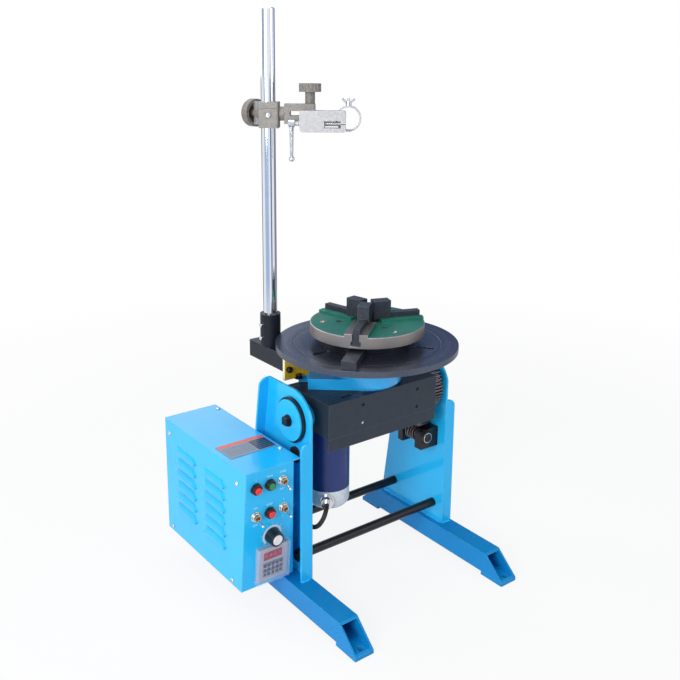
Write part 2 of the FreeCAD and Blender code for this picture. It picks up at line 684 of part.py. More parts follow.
def spindle_housing():
    """Round housing on the cradle, with a tongue and a lower ear that carry the torch stand."""
    drum = rod(HOUSING_R, (0, 0, CRADLE_TOP), (0, 0, HOUSING_TOP))
    drum = drum.cut(tube(HOUSING_R, HOUSING_R - HOUSING_UNDERCUT, (0, 0, CRADLE_TOP),
                         (0, 0, CRADLE_TOP + HOUSING_UNDERCUT)))
    tongue = block(0, TONGUE_REACH, -TONGUE_W / 2, TONGUE_W / 2, CRADLE_TOP, CRADLE_TOP + TONGUE_H)
    ear = block(TONGUE_REACH - 5, EAR_REACH, *EAR_SPAN, CRADLE_TOP, CRADLE_TOP + EAR_H)
    body = drum.fuse([turned(tongue, STAND_TURN), turned(ear, STAND_TURN)])
    return body.cut(rod(SPINDLE_R + RUN, (0, 0, CRADLE_TOP - 1), (0, 0, HOUSING_TOP + 1))).removeSplitter()


def table_spindle():
    """Flanged spindle: the table bolts to the flange, the shaft runs down into the gearmotor."""
    shaft = rod(SPINDLE_R, (0, 0, SPINDLE_FOOT), (0, 0, HOUSING_TOP + GAP))
    flange = rod(SPINDLE_FLANGE_R, (0, 0, HOUSING_TOP + GAP), (0, 0, TABLE_UNDER))
    return shaft.fuse(flange).removeSplitter()


def radial_slot(turn):
    half = SLOT_W / 2
    z0, z1 = TABLE_UNDER, TABLE_TOP
    slot = block(SLOT_FROM_R + half, SLOT_TO_R - half, -half, half, z0, z1)
    for x in (SLOT_FROM_R + half, SLOT_TO_R - half):
        slot = slot.fuse(rod(half, (x, 0, z0), (x, 0, z1)))
    return turned(slot, turn)


def work_table():
    disc = rod(TABLE_R, (0, 0, TABLE_UNDER), (0, 0, TABLE_TOP))
    groove = tube(GROOVE_R + GROOVE_W, GROOVE_R, (0, 0, TABLE_TOP - GROOVE_D), (0, 0, TABLE_TOP))
    disc = disc.cut(groove)
    for k in range(SLOT_COUNT):
        disc = disc.cut(radial_slot(SLOT_FIRST + 360 * k / SLOT_COUNT))
    return disc


def locating_bar():
    """Flat bar that lies on the table from the adapter out to the rim."""
    bar = block(ADAPTER_R - 1, TABLE_R - BAR_RIM_GAP, -BAR_W / 2, BAR_W / 2, TABLE_TOP, TABLE_TOP + BAR_T)
    return turned(bar.cut(rod(ADAPTER_R, (0, 0, TABLE_TOP), (0, 0, CHUCK_TOP))), BAR_TURN)


# ================================================================ chuck
def jaw_turns():
    return [JAW_FIRST + 360 * k / JAW_COUNT for k in range(JAW_COUNT)]


def jaw_slot(neck, base, base_h, floor, top, r0, r1):
    """T-shaped bar along +X: a wide foot below and a narrower neck above it."""
    foot_bar = block(r0, r1, -base / 2, base / 2, floor, floor + base_h)
    return foot_bar.fuse(block(r0, r1, -neck / 2, neck / 2, floor, top)).removeSplitter()


def chuck_body():
    """Round body with a bare raised guide on each side of the three T-slots, open in the middle."""
    body = rod(CHUCK_R, (0, 0, CHUCK_BOTTOM), (0, 0, CHUCK_TOP))
    body = body.makeChamfer(CHUCK_EDGE, [e for e in body.Edges if abs(e.CenterOfMass.z - CHUCK_TOP) < 1e-6])
    guide = JAW_SLOT_W / 2 + GUIDE_W
    for turn in jaw_turns():
        bar = block(CHUCK_BORE_R, CHUCK_R, -guide, guide, CHUCK_TOP - CHUCK_EDGE, GUIDE_TOP)
        body = body.fuse(turned(bar.common(rod(CHUCK_R, (0, 0, CHUCK_BOTTOM), (0, 0, GUIDE_TOP))), turn))
    for turn in jaw_turns():
        slot = jaw_slot(JAW_SLOT_W, JAW_BASE_W, JAW_BASE_H, SLOT_FLOOR, GUIDE_TOP, 0, CHUCK_R + 5)
        body = body.cut(turned(slot, turn))
    for turn in jaw_turns():
        for r, hole_r in ((FACE_SCREW_AT, FACE_SCREW_R), (FACE_HOLE_AT, FACE_HOLE_R)):
            hole = rod(hole_r, (r, 0, CHUCK_TOP - FACE_HOLE_D), (r, 0, CHUCK_TOP))
            body = body.cut(turned(hole, turn + FACE_HOLE_TURN))
    return body.cut(rod(CHUCK_BORE_R, (0, 0, CHUCK_BOTTOM), (0, 0, GUIDE_TOP))).removeSplitter()


def jaw(turn):
    """Hardened jaw: a carrier in the T-slot with two tapped holes, and a tall block at its inner end."""
    r0, r1 = JAW_INNER_R, JAW_INNER_R + JAW_L
    carrier = jaw_slot(JAW_SLOT_W - 2 * RUN, JAW_BASE_W - 2 * RUN, JAW_BASE_H - 2 * RUN,
                       SLOT_FLOOR + RUN, CARRIER_TOP, r0, r1)
    half = JAW_BLOCK_W / 2
    tall = block(r0, r0 + JAW_BLOCK_L, -half, half, GUIDE_TOP + GAP, CARRIER_TOP + JAW_BLOCK_H)
    body = carrier.fuse(tall).removeSplitter()
    for r in JAW_HOLE_OUT:
        x = r0 + JAW_BLOCK_L + r
        body = body.cut(rod(JAW_HOLE_R, (x, 0, CARRIER_TOP - JAW_HOLE_D), (x, 0, CARRIER_TOP)))
    return turned(body, turn)


# ================================================================ gearmotor
GEARBOX_TOP = CRADLE_TOP - CRADLE_WALL
GEARBOX_BOTTOM = GEARBOX_TOP - GEARBOX_H
SPINDLE_FOOT = GEARBOX_BOTTOM + 6


def gearmotor():
    """Motor below, and above it a flat gearbox that reaches across to the spindle."""
    x, y = MOTOR_AT
    can = rod(MOTOR_R, (x, y, MOTOR_BOTTOM), (x, y, GEARBOX_BOTTOM))
    half = GEARBOX_W / 2
    box = block(x - MOTOR_R, half, y - half, y + half, GEARBOX_BOTTOM, GEARBOX_TOP)
    body = can.fuse(box)
    return body.cut(rod(SPINDLE_R + RUN, (0, 0, SPINDLE_FOOT), (0, 0, GEARBOX_TOP + 1))).removeSplitter()


def motor_cap():
    x, y = MOTOR_AT
    cap = rod(MOTOR_R, (x, y, MOTOR_BOTTOM - CAP_H), (x, y, MOTOR_BOTTOM))
    low = [e for e in cap.Edges if abs(e.CenterOfMass.z - (MOTOR_BOTTOM - CAP_H)) < 1e-6]
    return cap.makeFillet(CAP_ROUND, low)


CONNECTOR_Z = MOTOR_BOTTOM - CAP_H / 2 + 4
CONNECTOR_SEAT = MOTOR_R - 1


def cable_connector():
    """Round metal cable socket on the side of the end cap."""
    x, y = MOTOR_AT
    face = CONNECTOR_SEAT
    seat = rod(CONNECTOR_R + 2, (face, 0, CONNECTOR_Z), (face + 4, 0, CONNECTOR_Z))
    sleeve = rod(CONNECTOR_R, (face, 0, CONNECTOR_Z), (face + CONNECTOR_L, 0, CONNECTOR_Z))
    tail = rod(CABLE_R + 1.5, (face, 0, CONNECTOR_Z), (face + CONNECTOR_L + CONNECTOR_TAIL, 0, CONNECTOR_Z))
    body = moved(turned(seat.fuse([sleeve, tail]), CONNECTOR_TURN), x, y, 0)
    cap = rod(MOTOR_R, (x, y, MOTOR_BOTTOM - CAP_H), (x, y, MOTOR_BOTTOM))
    return body.cut(cap).removeSplitter()


# The cable leaves the connector, hangs in a slack loop and rises to the grommet.
CONNECTOR_TAIL = 6.0
CABLE_OUT = 14.0          # how far it runs straight on from the connector
CABLE_LOOP = [(-137.0, -58.0, 150.0), (-142.0, -48.0, 134.0), (-144.0, -30.0, 128.0),
              (-144.0, -12.0, 138.0), (-143.0, -6.0, 160.0), (-142.0, -6.5, 193.0),
              (-141.0, -8.5, 222.0), (-141.5, -9.4, 242.5), (-144.0, -9.4, 257.6),
              (-159.0, -9.4, 257.6)]


def cable_route():
    out = Vector(math.cos(math.radians(CONNECTOR_TURN)), math.sin(math.radians(CONNECTOR_TURN)), 0)
    start = Vector(MOTOR_AT[0], MOTOR_AT[1], CONNECTOR_Z) + out * (CONNECTOR_SEAT + CONNECTOR_L + CONNECTOR_TAIL)
    return [start, start + out * CABLE_OUT] + [Vector(*p) for p in CABLE_LOOP]


def motor_cable():
    return smooth_tube(cable_route(), CABLE_R)


def smooth_tube(points, radius):
    """Round tube of straight runs joined by arcs that touch both runs."""
    edges = []
    here = points[0]
    for before, corner, after in zip(points, points[1:], points[2:]):
        into = (corner - before).normalize()
        out = (after - corner).normalize()
        turn = into.getAngle(out)
        cut = 0.45 * min((corner - before).Length, (after - corner).Length)
        start = corner - into * cut
        end = corner + out * cut
        away = (out - into).normalize()
        bend = cut / math.tan(turn / 2)
        middle = corner + away * (bend / math.cos(turn / 2) - bend)
        edges.append(Part.LineSegment(here, start).toShape())
        edges.append(Part.Arc(start, middle, end).toShape())
        here = end
    edges.append(Part.LineSegment(here, points[-1]).toShape())
    path = Part.Wire(edges)
    ring = Part.Wire(Part.makeCircle(radius, points[0], points[1] - points[0]))
    return path.makePipeShell([ring], True, False)


# ================================================================ torch stand
EAR_TOP = CRADLE_TOP + EAR_H
POLE_REACH = TABLE_R + POLE_TO_RIM + SLEEVE_R
POLE_X = POLE_REACH * math.cos(math.radians(POLE_TURN))
POLE_Y = POLE_REACH * math.sin(math.radians(POLE_TURN))
ARM_END = POLE_Y + ARM_PAST_POLE
ARM_X0 = POLE_X - ARM_W / 2
ARM_X1 = POLE_X + ARM_W / 2
ARM_TOP = EAR_TOP + ARM_H
BRACKET_LEFT = ARM_X0 - BRACKET_PAST_ARM


def stand_bracket():
    """Zinc-plated plate that stands on the housing's ear and holds the arm's front end."""
    return block(BRACKET_LEFT, ARM_X1, BRACKET_BACK - BRACKET_T, BRACKET_BACK, EAR_TOP, BRACKET_TOP)


def stand_arm():
    arm = block(ARM_X0, ARM_X1, BRACKET_BACK, ARM_END, EAR_TOP, ARM_TOP)
    return arm.makeFillet(2.0, [e for e in arm.Edges if abs(e.tangentAt(e.FirstParameter).y) > 0.9])


def pole_sleeve():
    top = ARM_TOP + SLEEVE_H
    sleeve = tube(SLEEVE_R, POLE_R + RUN, (POLE_X, POLE_Y, ARM_TOP), (POLE_X, POLE_Y, top))
    for up in SET_SCREW_UP:
        z = ARM_TOP + up
        sleeve = sleeve.cut(rod(SET_SCREW_R, (POLE_X - SLEEVE_R - 5, POLE_Y, z), (POLE_X, POLE_Y, z)))
    return sleeve


def sleeve_screws():
    screws = []
    for up in SET_SCREW_UP:
        z = ARM_TOP + up
        screws.append(rod(SET_SCREW_R, (POLE_X - SLEEVE_R - 3.5, POLE_Y, z), (POLE_X - POLE_R - 0.4, POLE_Y, z)))
    return group(screws)


def stand_pole():
    pole = rod(POLE_R, (POLE_X, POLE_Y, ARM_TOP), (POLE_X, POLE_Y, POLE_TOP))
    return pole.makeChamfer(1.5, [e for e in pole.Edges if abs(e.CenterOfMass.z - POLE_TOP) < 1e-6])


# ================================================================ control box
BOX_H = BOX_TOP - BOX_BOTTOM
PANEL_LEN = math.hypot(BOX_H, PANEL_LEAN)
LEAN = math.degrees(math.atan2(PANEL_LEAN, BOX_H))
PANEL_FOOT_Y = BOX_FRONT + PANEL_LEAN


def on_panel(shape):
    """Put a control on the leaning panel.  Its own frame: X, outward along -Y, and up the panel in Z."""
    copy = shape.copy()
    copy.rotate(Vector(0, 0, 0), Vector(1, 0, 0), LEAN)
    copy.translate(Vector(0, PANEL_FOOT_Y, BOX_BOTTOM))
    return copy


def box_side(x):
    return [(x, BOX_FRONT, BOX_TOP), (x, BOX_REAR, BOX_TOP), (x, BOX_REAR, BOX_BOTTOM),
            (x, PANEL_FOOT_Y, BOX_BOTTOM)]


def chassis_space(inset):
    """Room that the chassis fills, shrunk by inset on every side but the left."""
    lean = PANEL_INSET - PANEL_INSET_LOW
    top_x, low_x = BOX_RIGHT - PANEL_INSET - inset, BOX_RIGHT - PANEL_INSET_LOW - inset
    left = BOX_LEFT + BOX_WALL
    z0, z1 = BOX_BOTTOM + inset, BOX_TOP - BOX_WALL
    front = [(left, 0, z0), (low_x, 0, z0), (top_x, 0, z1), (left, 0, z1)]
    room = prism([(x, BOX_FRONT - 5, z) for x, _, z in front], (0, BOX_REAR - BOX_FRONT + 10, 0))
    shift = inset
    profile = [(left - 1, BOX_FRONT + shift, BOX_TOP), (left - 1, BOX_REAR - shift, BOX_TOP),
               (left - 1, BOX_REAR - shift, BOX_BOTTOM), (left - 1, PANEL_FOOT_Y + shift, BOX_BOTTOM)]
    return room.common(prism(profile, (BOX_RIGHT - left + 20, 0, 0)))


def box_chassis():
    """Front panel, floor, rear and right wall, bent from one sheet; two bosses hold it to the side plate."""
    body = chassis_space(0).cut(chassis_space(BOX_WALL))
    for u, w in BUTTON_AT:
        body = body.cut(on_panel(rod(BUTTON_R + 1, (u, -5, w), (u, 5, w))))
    for u, w in TOGGLE_AT:
        body = body.cut(on_panel(rod(TOGGLE_BUSH_R, (u, -5, w), (u, 5, w))))
    body = body.cut(on_panel(rod(4, (KNOB_AT[0], -5, KNOB_AT[1]), (KNOB_AT[0], 5, KNOB_AT[1]))))
    u, w = TIMER_AT
    half_w, half_h = TIMER_W / 2 - 3, TIMER_H / 2 - 3
    body = body.cut(on_panel(block(u - half_w, u + half_w, -5, 5, w - half_h, w + half_h)))
    for y in BOX_BOSS_Y:
        body = body.fuse(boss_to_plate(y))
    return body.removeSplitter()


def boss_to_plate(y):
    z = (BOX_TOP + BOX_BOTTOM) / 2
    wall_x = BOX_RIGHT - (PANEL_INSET + PANEL_INSET_LOW) / 2
    return rod(BOX_BOSS_R, (wall_x - 2, y, z), (LEFT_PLATE_X, y, z)).cut(chassis_space(BOX_WALL))


def louvre(y, z):
    """One pressed louvre: a half-round hood that opens downwards."""
    hood = rod(LOUVRE_OUT, (BOX_LEFT, y, z), (BOX_LEFT, y + LOUVRE_L, z))
    keep_side = block(BOX_LEFT - LOUVRE_OUT, BOX_LEFT, y - 1, y + LOUVRE_L + 1, z, z + LOUVRE_H)
    return hood.common(keep_side)


def box_cover():
    """Left side and lid in one bent sheet, with two columns of louvres in the side."""
    side = prism(box_side(BOX_LEFT), (BOX_WALL, 0, 0))
    lid = block(BOX_LEFT, BOX_RIGHT, BOX_FRONT, BOX_REAR, BOX_TOP - BOX_WALL, BOX_TOP)
    cover = side.fuse(lid)
    hoods = []
    for y in LOUVRE_Y:
        for row in range(LOUVRE_ROWS):
            z = LOUVRE_LOW_Z + row * LOUVRE_PITCH
            hoods.append(louvre(y, z))
            cover = cover.cut(block(BOX_LEFT - 1, BOX_LEFT + BOX_WALL + 1, y + 3, y + LOUVRE_L - 3, z - 2.5, z))
    return cover.fuse(hoods).removeSplitter()


def cover_screws():
    screws = []
    for y, z in ((-22.0, 246.5), (0.0, 62.7), (214.0, 246.5), (214.0, 62.7)):
        screws.append(dome((BOX_LEFT, y, z), (-1, 0, 0)))
    for x, y in ((-184.0, -1.0), (-184.0, 208.0)):
        screws.append(dome((x, y, BOX_TOP), (0, 0, 1)))
    return group(screws)


def dome(seat, out):
    """Low round screw head on its seat."""
    head = Part.makeCylinder(SCREW_HEAD_R, SCREW_HEAD_H, Vector(*seat), Vector(*out))
    top = Vector(*seat) + Vector(*out) * SCREW_HEAD_H
    edge = [e for e in head.Edges if (e.CenterOfMass - top).Length < 1e-6]
    return head.makeChamfer(1.2, edge)


def label_plate():
    return block(*LABEL_X, *LABEL_Y, BOX_TOP, BOX_TOP + LABEL_T)


def button_collars():
    collars = []
    for u, w in BUTTON_AT:
        ring = tube(COLLAR_BEZEL_R, BUTTON_R + GAP, (u, -COLLAR_BEZEL_H, w), (u, 0, w))
        barrel = tube(BUTTON_R + 1, BUTTON_R + GAP, (u, 0, w), (u, 22, w))
        collars.append(on_panel(ring.fuse(barrel).removeSplitter()))
    return group(collars)


def button(u, w):
    front = -COLLAR_BEZEL_H - BUTTON_OUT
    cap = rod(BUTTON_R, (u, front, w), (u, 12, w))
    edge = [e for e in cap.Edges if abs(e.CenterOfMass.y - front) < 1e-6]
    return on_panel(cap.makeFillet(2.0, edge))


def toggle_bushings():
    bushings = []
    for u, w in TOGGLE_AT:
        nut = hexagon(TOGGLE_NUT_AF, (u, -TOGGLE_NUT_T, w), "Y", TOGGLE_NUT_T)
        bush = rod(TOGGLE_BUSH_R, (u, -TOGGLE_BUSH_L, w), (u, 16, w))
        body = nut.fuse(bush)
        neck = TOGGLE_LEVER_R + 0.4
        reach = TOGGLE_BUSH_L + 1
        mouth = neck + reach * math.tan(math.radians(TOGGLE_SWING + 1))
        swing = Part.makeCone(neck, mouth, reach, Vector(u, 0, w), Vector(0, -1, 0))
        seat = Part.makeSphere(TOGGLE_BALL_R + GAP, Vector(u, 0, w))
        bushings.append(on_panel(body.cut(swing).cut(seat).removeSplitter()))
    return group(bushings)


def toggle_lever(u, w):
    """Bat lever, modelled in its lower position."""
    tip = -TOGGLE_BUSH_L - TOGGLE_LEVER_L + 4
    lever = Part.makeCone(TOGGLE_LEVER_R * 0.7, TOGGLE_LEVER_R, -tip, Vector(u, 0, w), Vector(0, -1, 0))
    tip_ball = Part.makeSphere(TOGGLE_LEVER_R * 1.35, Vector(u, tip, w))
    pivot_ball = Part.makeSphere(TOGGLE_BALL_R, Vector(u, 0, w))
    return on_panel(turned(lever.fuse([tip_ball, pivot_ball]).removeSplitter(), TOGGLE_SWING, (u, 0, w), (1, 0, 0)))


def dial_ring():
    u, w = KNOB_AT
    return on_panel(tube(DIAL_R, 4, (u, -DIAL_T, w), (u, 0, w)))


def speed_knob():
    """Fluted knob with a recess in front for its cap, on a stub that passes through the panel."""
    u, w = KNOB_AT
    base = -DIAL_T - GAP
    front = base - KNOB_H
    knob = Part.makeCone(KNOB_R, KNOB_R * 0.86, KNOB_H, Vector(u, base, w), Vector(0, -1, 0))
    for k in range(KNOB_FLUTES):
        turn = 2 * math.pi * k / KNOB_FLUTES
        cx, cz = u + KNOB_R * 1.06 * math.cos(turn), w + KNOB_R * 1.06 * math.sin(turn)
        knob = knob.cut(rod(2.0, (cx, front - 1, cz), (cx, base - 3, cz)))
    knob = knob.cut(rod(KNOB_R * 0.62, (u, front, w), (u, front + 2, w)))
    return on_panel(knob.fuse(rod(4 - RUN, (u, base, w), (u, 14, w))).removeSplitter())


def speed_knob_cap():
    u, w = KNOB_AT
    front = -DIAL_T - GAP - KNOB_H
    return on_panel(rod(KNOB_R * 0.62, (u, front - 0.8, w), (u, front + 2, w)))


def timer_body():
    u, w = TIMER_AT
    half_w, half_h = TIMER_W / 2, TIMER_H / 2
    bezel = block(u - half_w, u + half_w, -TIMER_BEZEL, 0, w - half_h, w + half_h)
    can = block(u - half_w + 3, u + half_w - 3, 0, TIMER_DEPTH, w - half_h + 3, w + half_h - 3)
    body = bezel.fuse(can)
    window = block(u - 19, u + 17, -TIMER_BEZEL, -TIMER_BEZEL + 1.5, w + 8, w + 24)
    body = body.cut(window)
    for col in range(4):
        for row in range(2):
            x, z = u - 15 + 10 * col, w - 6 - 12 * row
            body = body.fuse(block(x - 3.5, x + 3.5, -TIMER_BEZEL - 1, -TIMER_BEZEL, z - 3.5, z + 3.5))
    return on_panel(body.removeSplitter())


def timer_cover():
    """Clear hinged cover over the timer's face."""
    u, w = TIMER_AT
    half_w, half_h = TIMER_W / 2 + 2.5, TIMER_H / 2 + 2.5
    back = -0.3
    front = -TIMER_BEZEL - TIMER_COVER_T
    lid = block(u - half_w, u + half_w, front, back, w - half_h, w + half_h)
    wall = TIMER_COVER_WALL
    hollow = block(u - half_w + wall, u + half_w - wall, front + wall, back, w - half_h + wall, w + half_h - wall)
    return on_panel(lid.cut(hollow))


def circuit_board():
    """Drive board on posts above the chassis floor, with a transformer and a finned heat sink."""
    floor = BOX_BOTTOM + BOX_WALL
    under, top = floor + BOARD_UP, floor + BOARD_UP + BOARD_T
    x0, y0 = BOARD_X[0], BOARD_Y[0]
    board = block(*BOARD_X, *BOARD_Y, under, top)
    posts = [rod(POST_R, (x, y, floor), (x, y, under))
             for x in (x0 + POST_IN, BOARD_X[1] - POST_IN) for y in (y0 + POST_IN, BOARD_Y[1] - POST_IN)]
    coil = block(x0 + COIL_X[0], x0 + COIL_X[1], y0 + COIL_Y[0], y0 + COIL_Y[1], top, top + COIL_H)
    sink = block(x0 + SINK_X[0], x0 + SINK_X[1], y0 + SINK_Y[0], y0 + SINK_Y[1], top, top + SINK_H)
    for k in range(FIN_COUNT):
        x = x0 + SINK_X[0] + (SINK_X[1] - SINK_X[0] - FIN_GAP) * (k + 0.5) / FIN_COUNT
        sink = sink.cut(block(x, x + FIN_GAP, y0 + SINK_Y[0] - 1, y0 + SINK_Y[1] + 1, top + SINK_BASE, top + SINK_H + 1))
    return board.fuse(posts + [coil, sink]).removeSplitter()


# ================================================================ torch clamp
# Its own frame: X to the torch side, Y away from the operator, Z up, with the pole's axis at 0, 0.
def at_clamp(shape):
    copy = shape.copy()
    copy.rotate(Vector(0, 0, 0), Vector(0, 0, 1), CLAMP_TURN)
    copy.translate(Vector(POLE_X, POLE_Y, CLAMP_Z))
    return copy


HOLDER_Y = -(TORCH_ARM_D / 2 + GAP + HOLDER_D / 2)
HOLDER_PIN_Z = (FORK_Z[0] + FORK_Z[1]) / 2
HOLDER_UNDER = HOLDER_TOP - HOLDER_H
STRAP_X = HOLDER_TO + STRAP_PAST
STRAP_Y0 = HOLDER_Y + HOLDER_D / 2
STRAP_MID = STRAP_Y0 + STRAP_W / 2
LEVER_X = HOLDER_FROM - LEVER_IN
HAND_KNOB_AT = JAW_PLATE_AT + JAW_PLATE_T + GAP


def along(r, start, end, y=0.0, z=ARM_AXIS_UP):
    return rod(r, (start, y, z), (end, y, z))


def at_knob(shape):
    """Turn what was built to the block's left to the direction of the hand knob's screw."""
    return at_clamp(turned(shape, KNOB_SWING))


def clamp_block():
    """Cast block on the pole: screw boss in front, swivel pin at the right, jaw plate and stud behind left."""
    half = BLOCK_D / 2
    body = block(-BLOCK_LEFT, BLOCK_RIGHT, -half, half, 0, BLOCK_H)
    body = body.makeFillet(BLOCK_ROUND, [e for e in body.Edges if abs(e.tangentAt(e.FirstParameter).z) > 0.9])
    body = body.cut(block(-BLOCK_LEFT - 1, BLOCK_RIGHT + 1, -half - 1, -half + 1,
                          BLOCK_JOINT_UP, BLOCK_JOINT_UP + 1))
    x, z = BLOCK_SCREW_AT
    screw = rod(BLOCK_SCREW_R, (x, -half - BLOCK_SCREW_OUT, z), (x, -half, z))
    pin = along(ARM_PIN_R, BLOCK_RIGHT, BLOCK_RIGHT + ARM_PIN_L)
    low = ARM_AXIS_UP - JAW_PLATE_H / 2
    plate = block(-JAW_PLATE_AT - JAW_PLATE_T, -JAW_PLATE_AT, -JAW_PLATE_W / 2, JAW_PLATE_W / 2,
                  low, low + JAW_PLATE_H)
    side = [turned(piece, KNOB_SWING) for piece in
            (along(NECK_R, -JAW_PLATE_AT, 0), plate, along(STUD_R, -STUD_END, -JAW_PLATE_AT))]
    body = body.fuse([screw, pin] + side)
    return at_clamp(body.cut(rod(POLE_R + RUN, (0, 0, -5), (0, 0, BLOCK_H + 5))).removeSplitter())


def clamp_knob():
    """Round hand knob on the stud, hollow towards the block."""
    near, far = -HAND_KNOB_AT, -HAND_KNOB_AT - HAND_KNOB_L
    knob = along(HAND_KNOB_R, far, near)
    knob = knob.makeFillet(HAND_KNOB_ROUND, [e for e in knob.Edges if abs(e.CenterOfMass.x - far) < 1e-6])
    hollow = tube(HAND_KNOB_R - HAND_KNOB_RIM, HAND_KNOB_HUB_R, (far + HAND_KNOB_WEB, 0, ARM_AXIS_UP),
                  (near, 0, ARM_AXIS_UP))
    return at_knob(knob.cut(hollow).cut(along(STUD_R + RUN, far - 1, near + 1)))


def torch_arm():
    """Forked arm that swivels on the block's pin; a stud stands on its end for the arm knob."""
    x0 = BLOCK_RIGHT + GAP
    half = TORCH_ARM_D / 2
    collar = along(SWIVEL_R, x0, x0 + SWIVEL_L)
    low, high = TORCH_ARM_Z
    body = block(x0 + SWIVEL_L, TORCH_ARM_END, -half, half, low, high)
    body = body.cut(block(x0 + SWIVEL_L + TORCH_ARM_WALL, TORCH_ARM_END, -half, half, *FORK_Z))
    tips = [e for e in body.Edges if abs(e.CenterOfMass.x - TORCH_ARM_END) < 1e-6]
    body = body.makeFillet(2.0, tips).fuse(collar)
    body = body.fuse(rod(ARM_STUD_R, (ARM_STUD_X, 0, low), (ARM_STUD_X, 0, ARM_STUD_TOP)))
    return at_clamp(body.cut(along(ARM_PIN_R + RUN, x0 - 1, BLOCK_RIGHT + ARM_PIN_L + GAP)).removeSplitter())


def arm_knob():
    """Fluted knob whose long stem screws onto the arm's stud."""
    x, foot_z = ARM_STUD_X, TORCH_ARM_Z[1] + GAP
    head_z = foot_z + ARM_KNOB_STEM
    top = head_z + ARM_KNOB_H
    stem = rod(ARM_KNOB_STEM_R, (x, 0, foot_z), (x, 0, head_z))
    head = rod(ARM_KNOB_R, (x, 0, head_z), (x, 0, top))
    for k in range(ARM_KNOB_GRIPS):
        grip = rod(GRIP_R, (ARM_KNOB_R + GRIP_R / 3, 0, head_z), (ARM_KNOB_R + GRIP_R / 3, 0, top))
        head = head.cut(moved(turned(grip, 360 * k / ARM_KNOB_GRIPS), x, 0, 0))
    bore = rod(ARM_STUD_R + RUN, (x, 0, foot_z - 1), (x, 0, ARM_STUD_TOP + GAP))
    return at_clamp(stem.fuse(head).cut(bore).removeSplitter())


def torch_holder():
    """Split clamp body hung on the arm by a pin in the fork, with a window that shows its screw."""
    y0, y1 = HOLDER_Y - HOLDER_D / 2, HOLDER_Y + HOLDER_D / 2
    body = block(HOLDER_FROM, HOLDER_TO, y0, y1, HOLDER_UNDER, HOLDER_TOP)
    body = body.makeFillet(HOLDER_ROUND, [e for e in body.Edges if abs(e.tangentAt(e.FirstParameter).y) > 0.9])
    body = body.cut(block(*WINDOW_X, y0 - 1, y1 + 1, *WINDOW_Z))
    body = body.cut(block(WINDOW_X[1], HOLDER_TO + 1, y0 - 1, y1 + 1, *SPLIT_Z))
    pin_r = (FORK_Z[1] - FORK_Z[0]) / 2 - FORK_PLAY
    back = TORCH_ARM_D / 2 + GAP
    spot = (HOLDER_PIN_X, HOLDER_PIN_Z)
    pin = rod(pin_r, (spot[0], y1, spot[1]), (spot[0], back + HOLDER_PIN_HEAD, spot[1]))
    head = rod(pin_r + HOLDER_PIN_HEAD, (spot[0], back, spot[1]), (spot[0], back + HOLDER_PIN_HEAD, spot[1]))
    screw = along(SCREW_R, HOLDER_FROM - SCREW_PAST, WINDOW_X[1], HOLDER_Y, SCREW_UP)
    return at_clamp(body.fuse([pin, head, screw]).removeSplitter())


def holder_lever():
    """Hanging clamp lever on the holder's screw, with a ball at its end."""
    half = LEVER_HUB_W / 2
    hub = along(LEVER_HUB_R, LEVER_X - half, LEVER_X + half, HOLDER_Y, SCREW_UP)
    stem_top = SCREW_UP - LEVER_HUB_R + 1
    stem = Part.makeCone(*LEVER_THICK, LEVER_L - LEVER_HUB_R, Vector(LEVER_X, HOLDER_Y, stem_top), Vector(0, 0, -1))
    ball = Part.makeSphere(LEVER_BALL_R, Vector(LEVER_X, HOLDER_Y, SCREW_UP - LEVER_L))
    bore = along(SCREW_R + RUN, LEVER_X - LEVER_HUB_W, LEVER_X + LEVER_HUB_W, HOLDER_Y, SCREW_UP)
    return at_clamp(hub.fuse([stem, ball]).cut(bore).removeSplitter())


def holder_strap():
    """Bent ring that grips the torch, seated on the back of the holder's end."""
    x, y0, y1 = STRAP_X, STRAP_Y0, STRAP_Y0 + STRAP_W
    ring = rod(STRAP_R, (x, y0, STRAP_UP), (x, y1, STRAP_UP))
    top = STRAP_UP + STRAP_R
    stud = rod(STRAP_STUD_R, (x, STRAP_MID, top - STRAP_T / 2), (x, STRAP_MID, top + STRAP_STUD_L))
    inside = rod(STRAP_R - STRAP_T, (x, y0, STRAP_UP), (x, y1, STRAP_UP))
    return at_clamp(ring.fuse(stud).cut(inside).removeSplitter())


def wing_nut():
    x, y, z = STRAP_X, STRAP_MID, STRAP_UP + STRAP_R + GAP
    hub = rod(WING_HUB_R, (x, y, z), (x, y, z + WING_HUB_H))
    wings = [prism([(x + side * out, y - WING_T / 2, z + rise) for out, rise in WING_OUTLINE], (0, WING_T, 0))
             for side in (-1, 1)]
    bore = rod(STRAP_STUD_R + RUN, (x, y, z - 1), (x, y, z + STRAP_STUD_L))
    return at_clamp(hub.fuse(wings).cut(bore).removeSplitter())


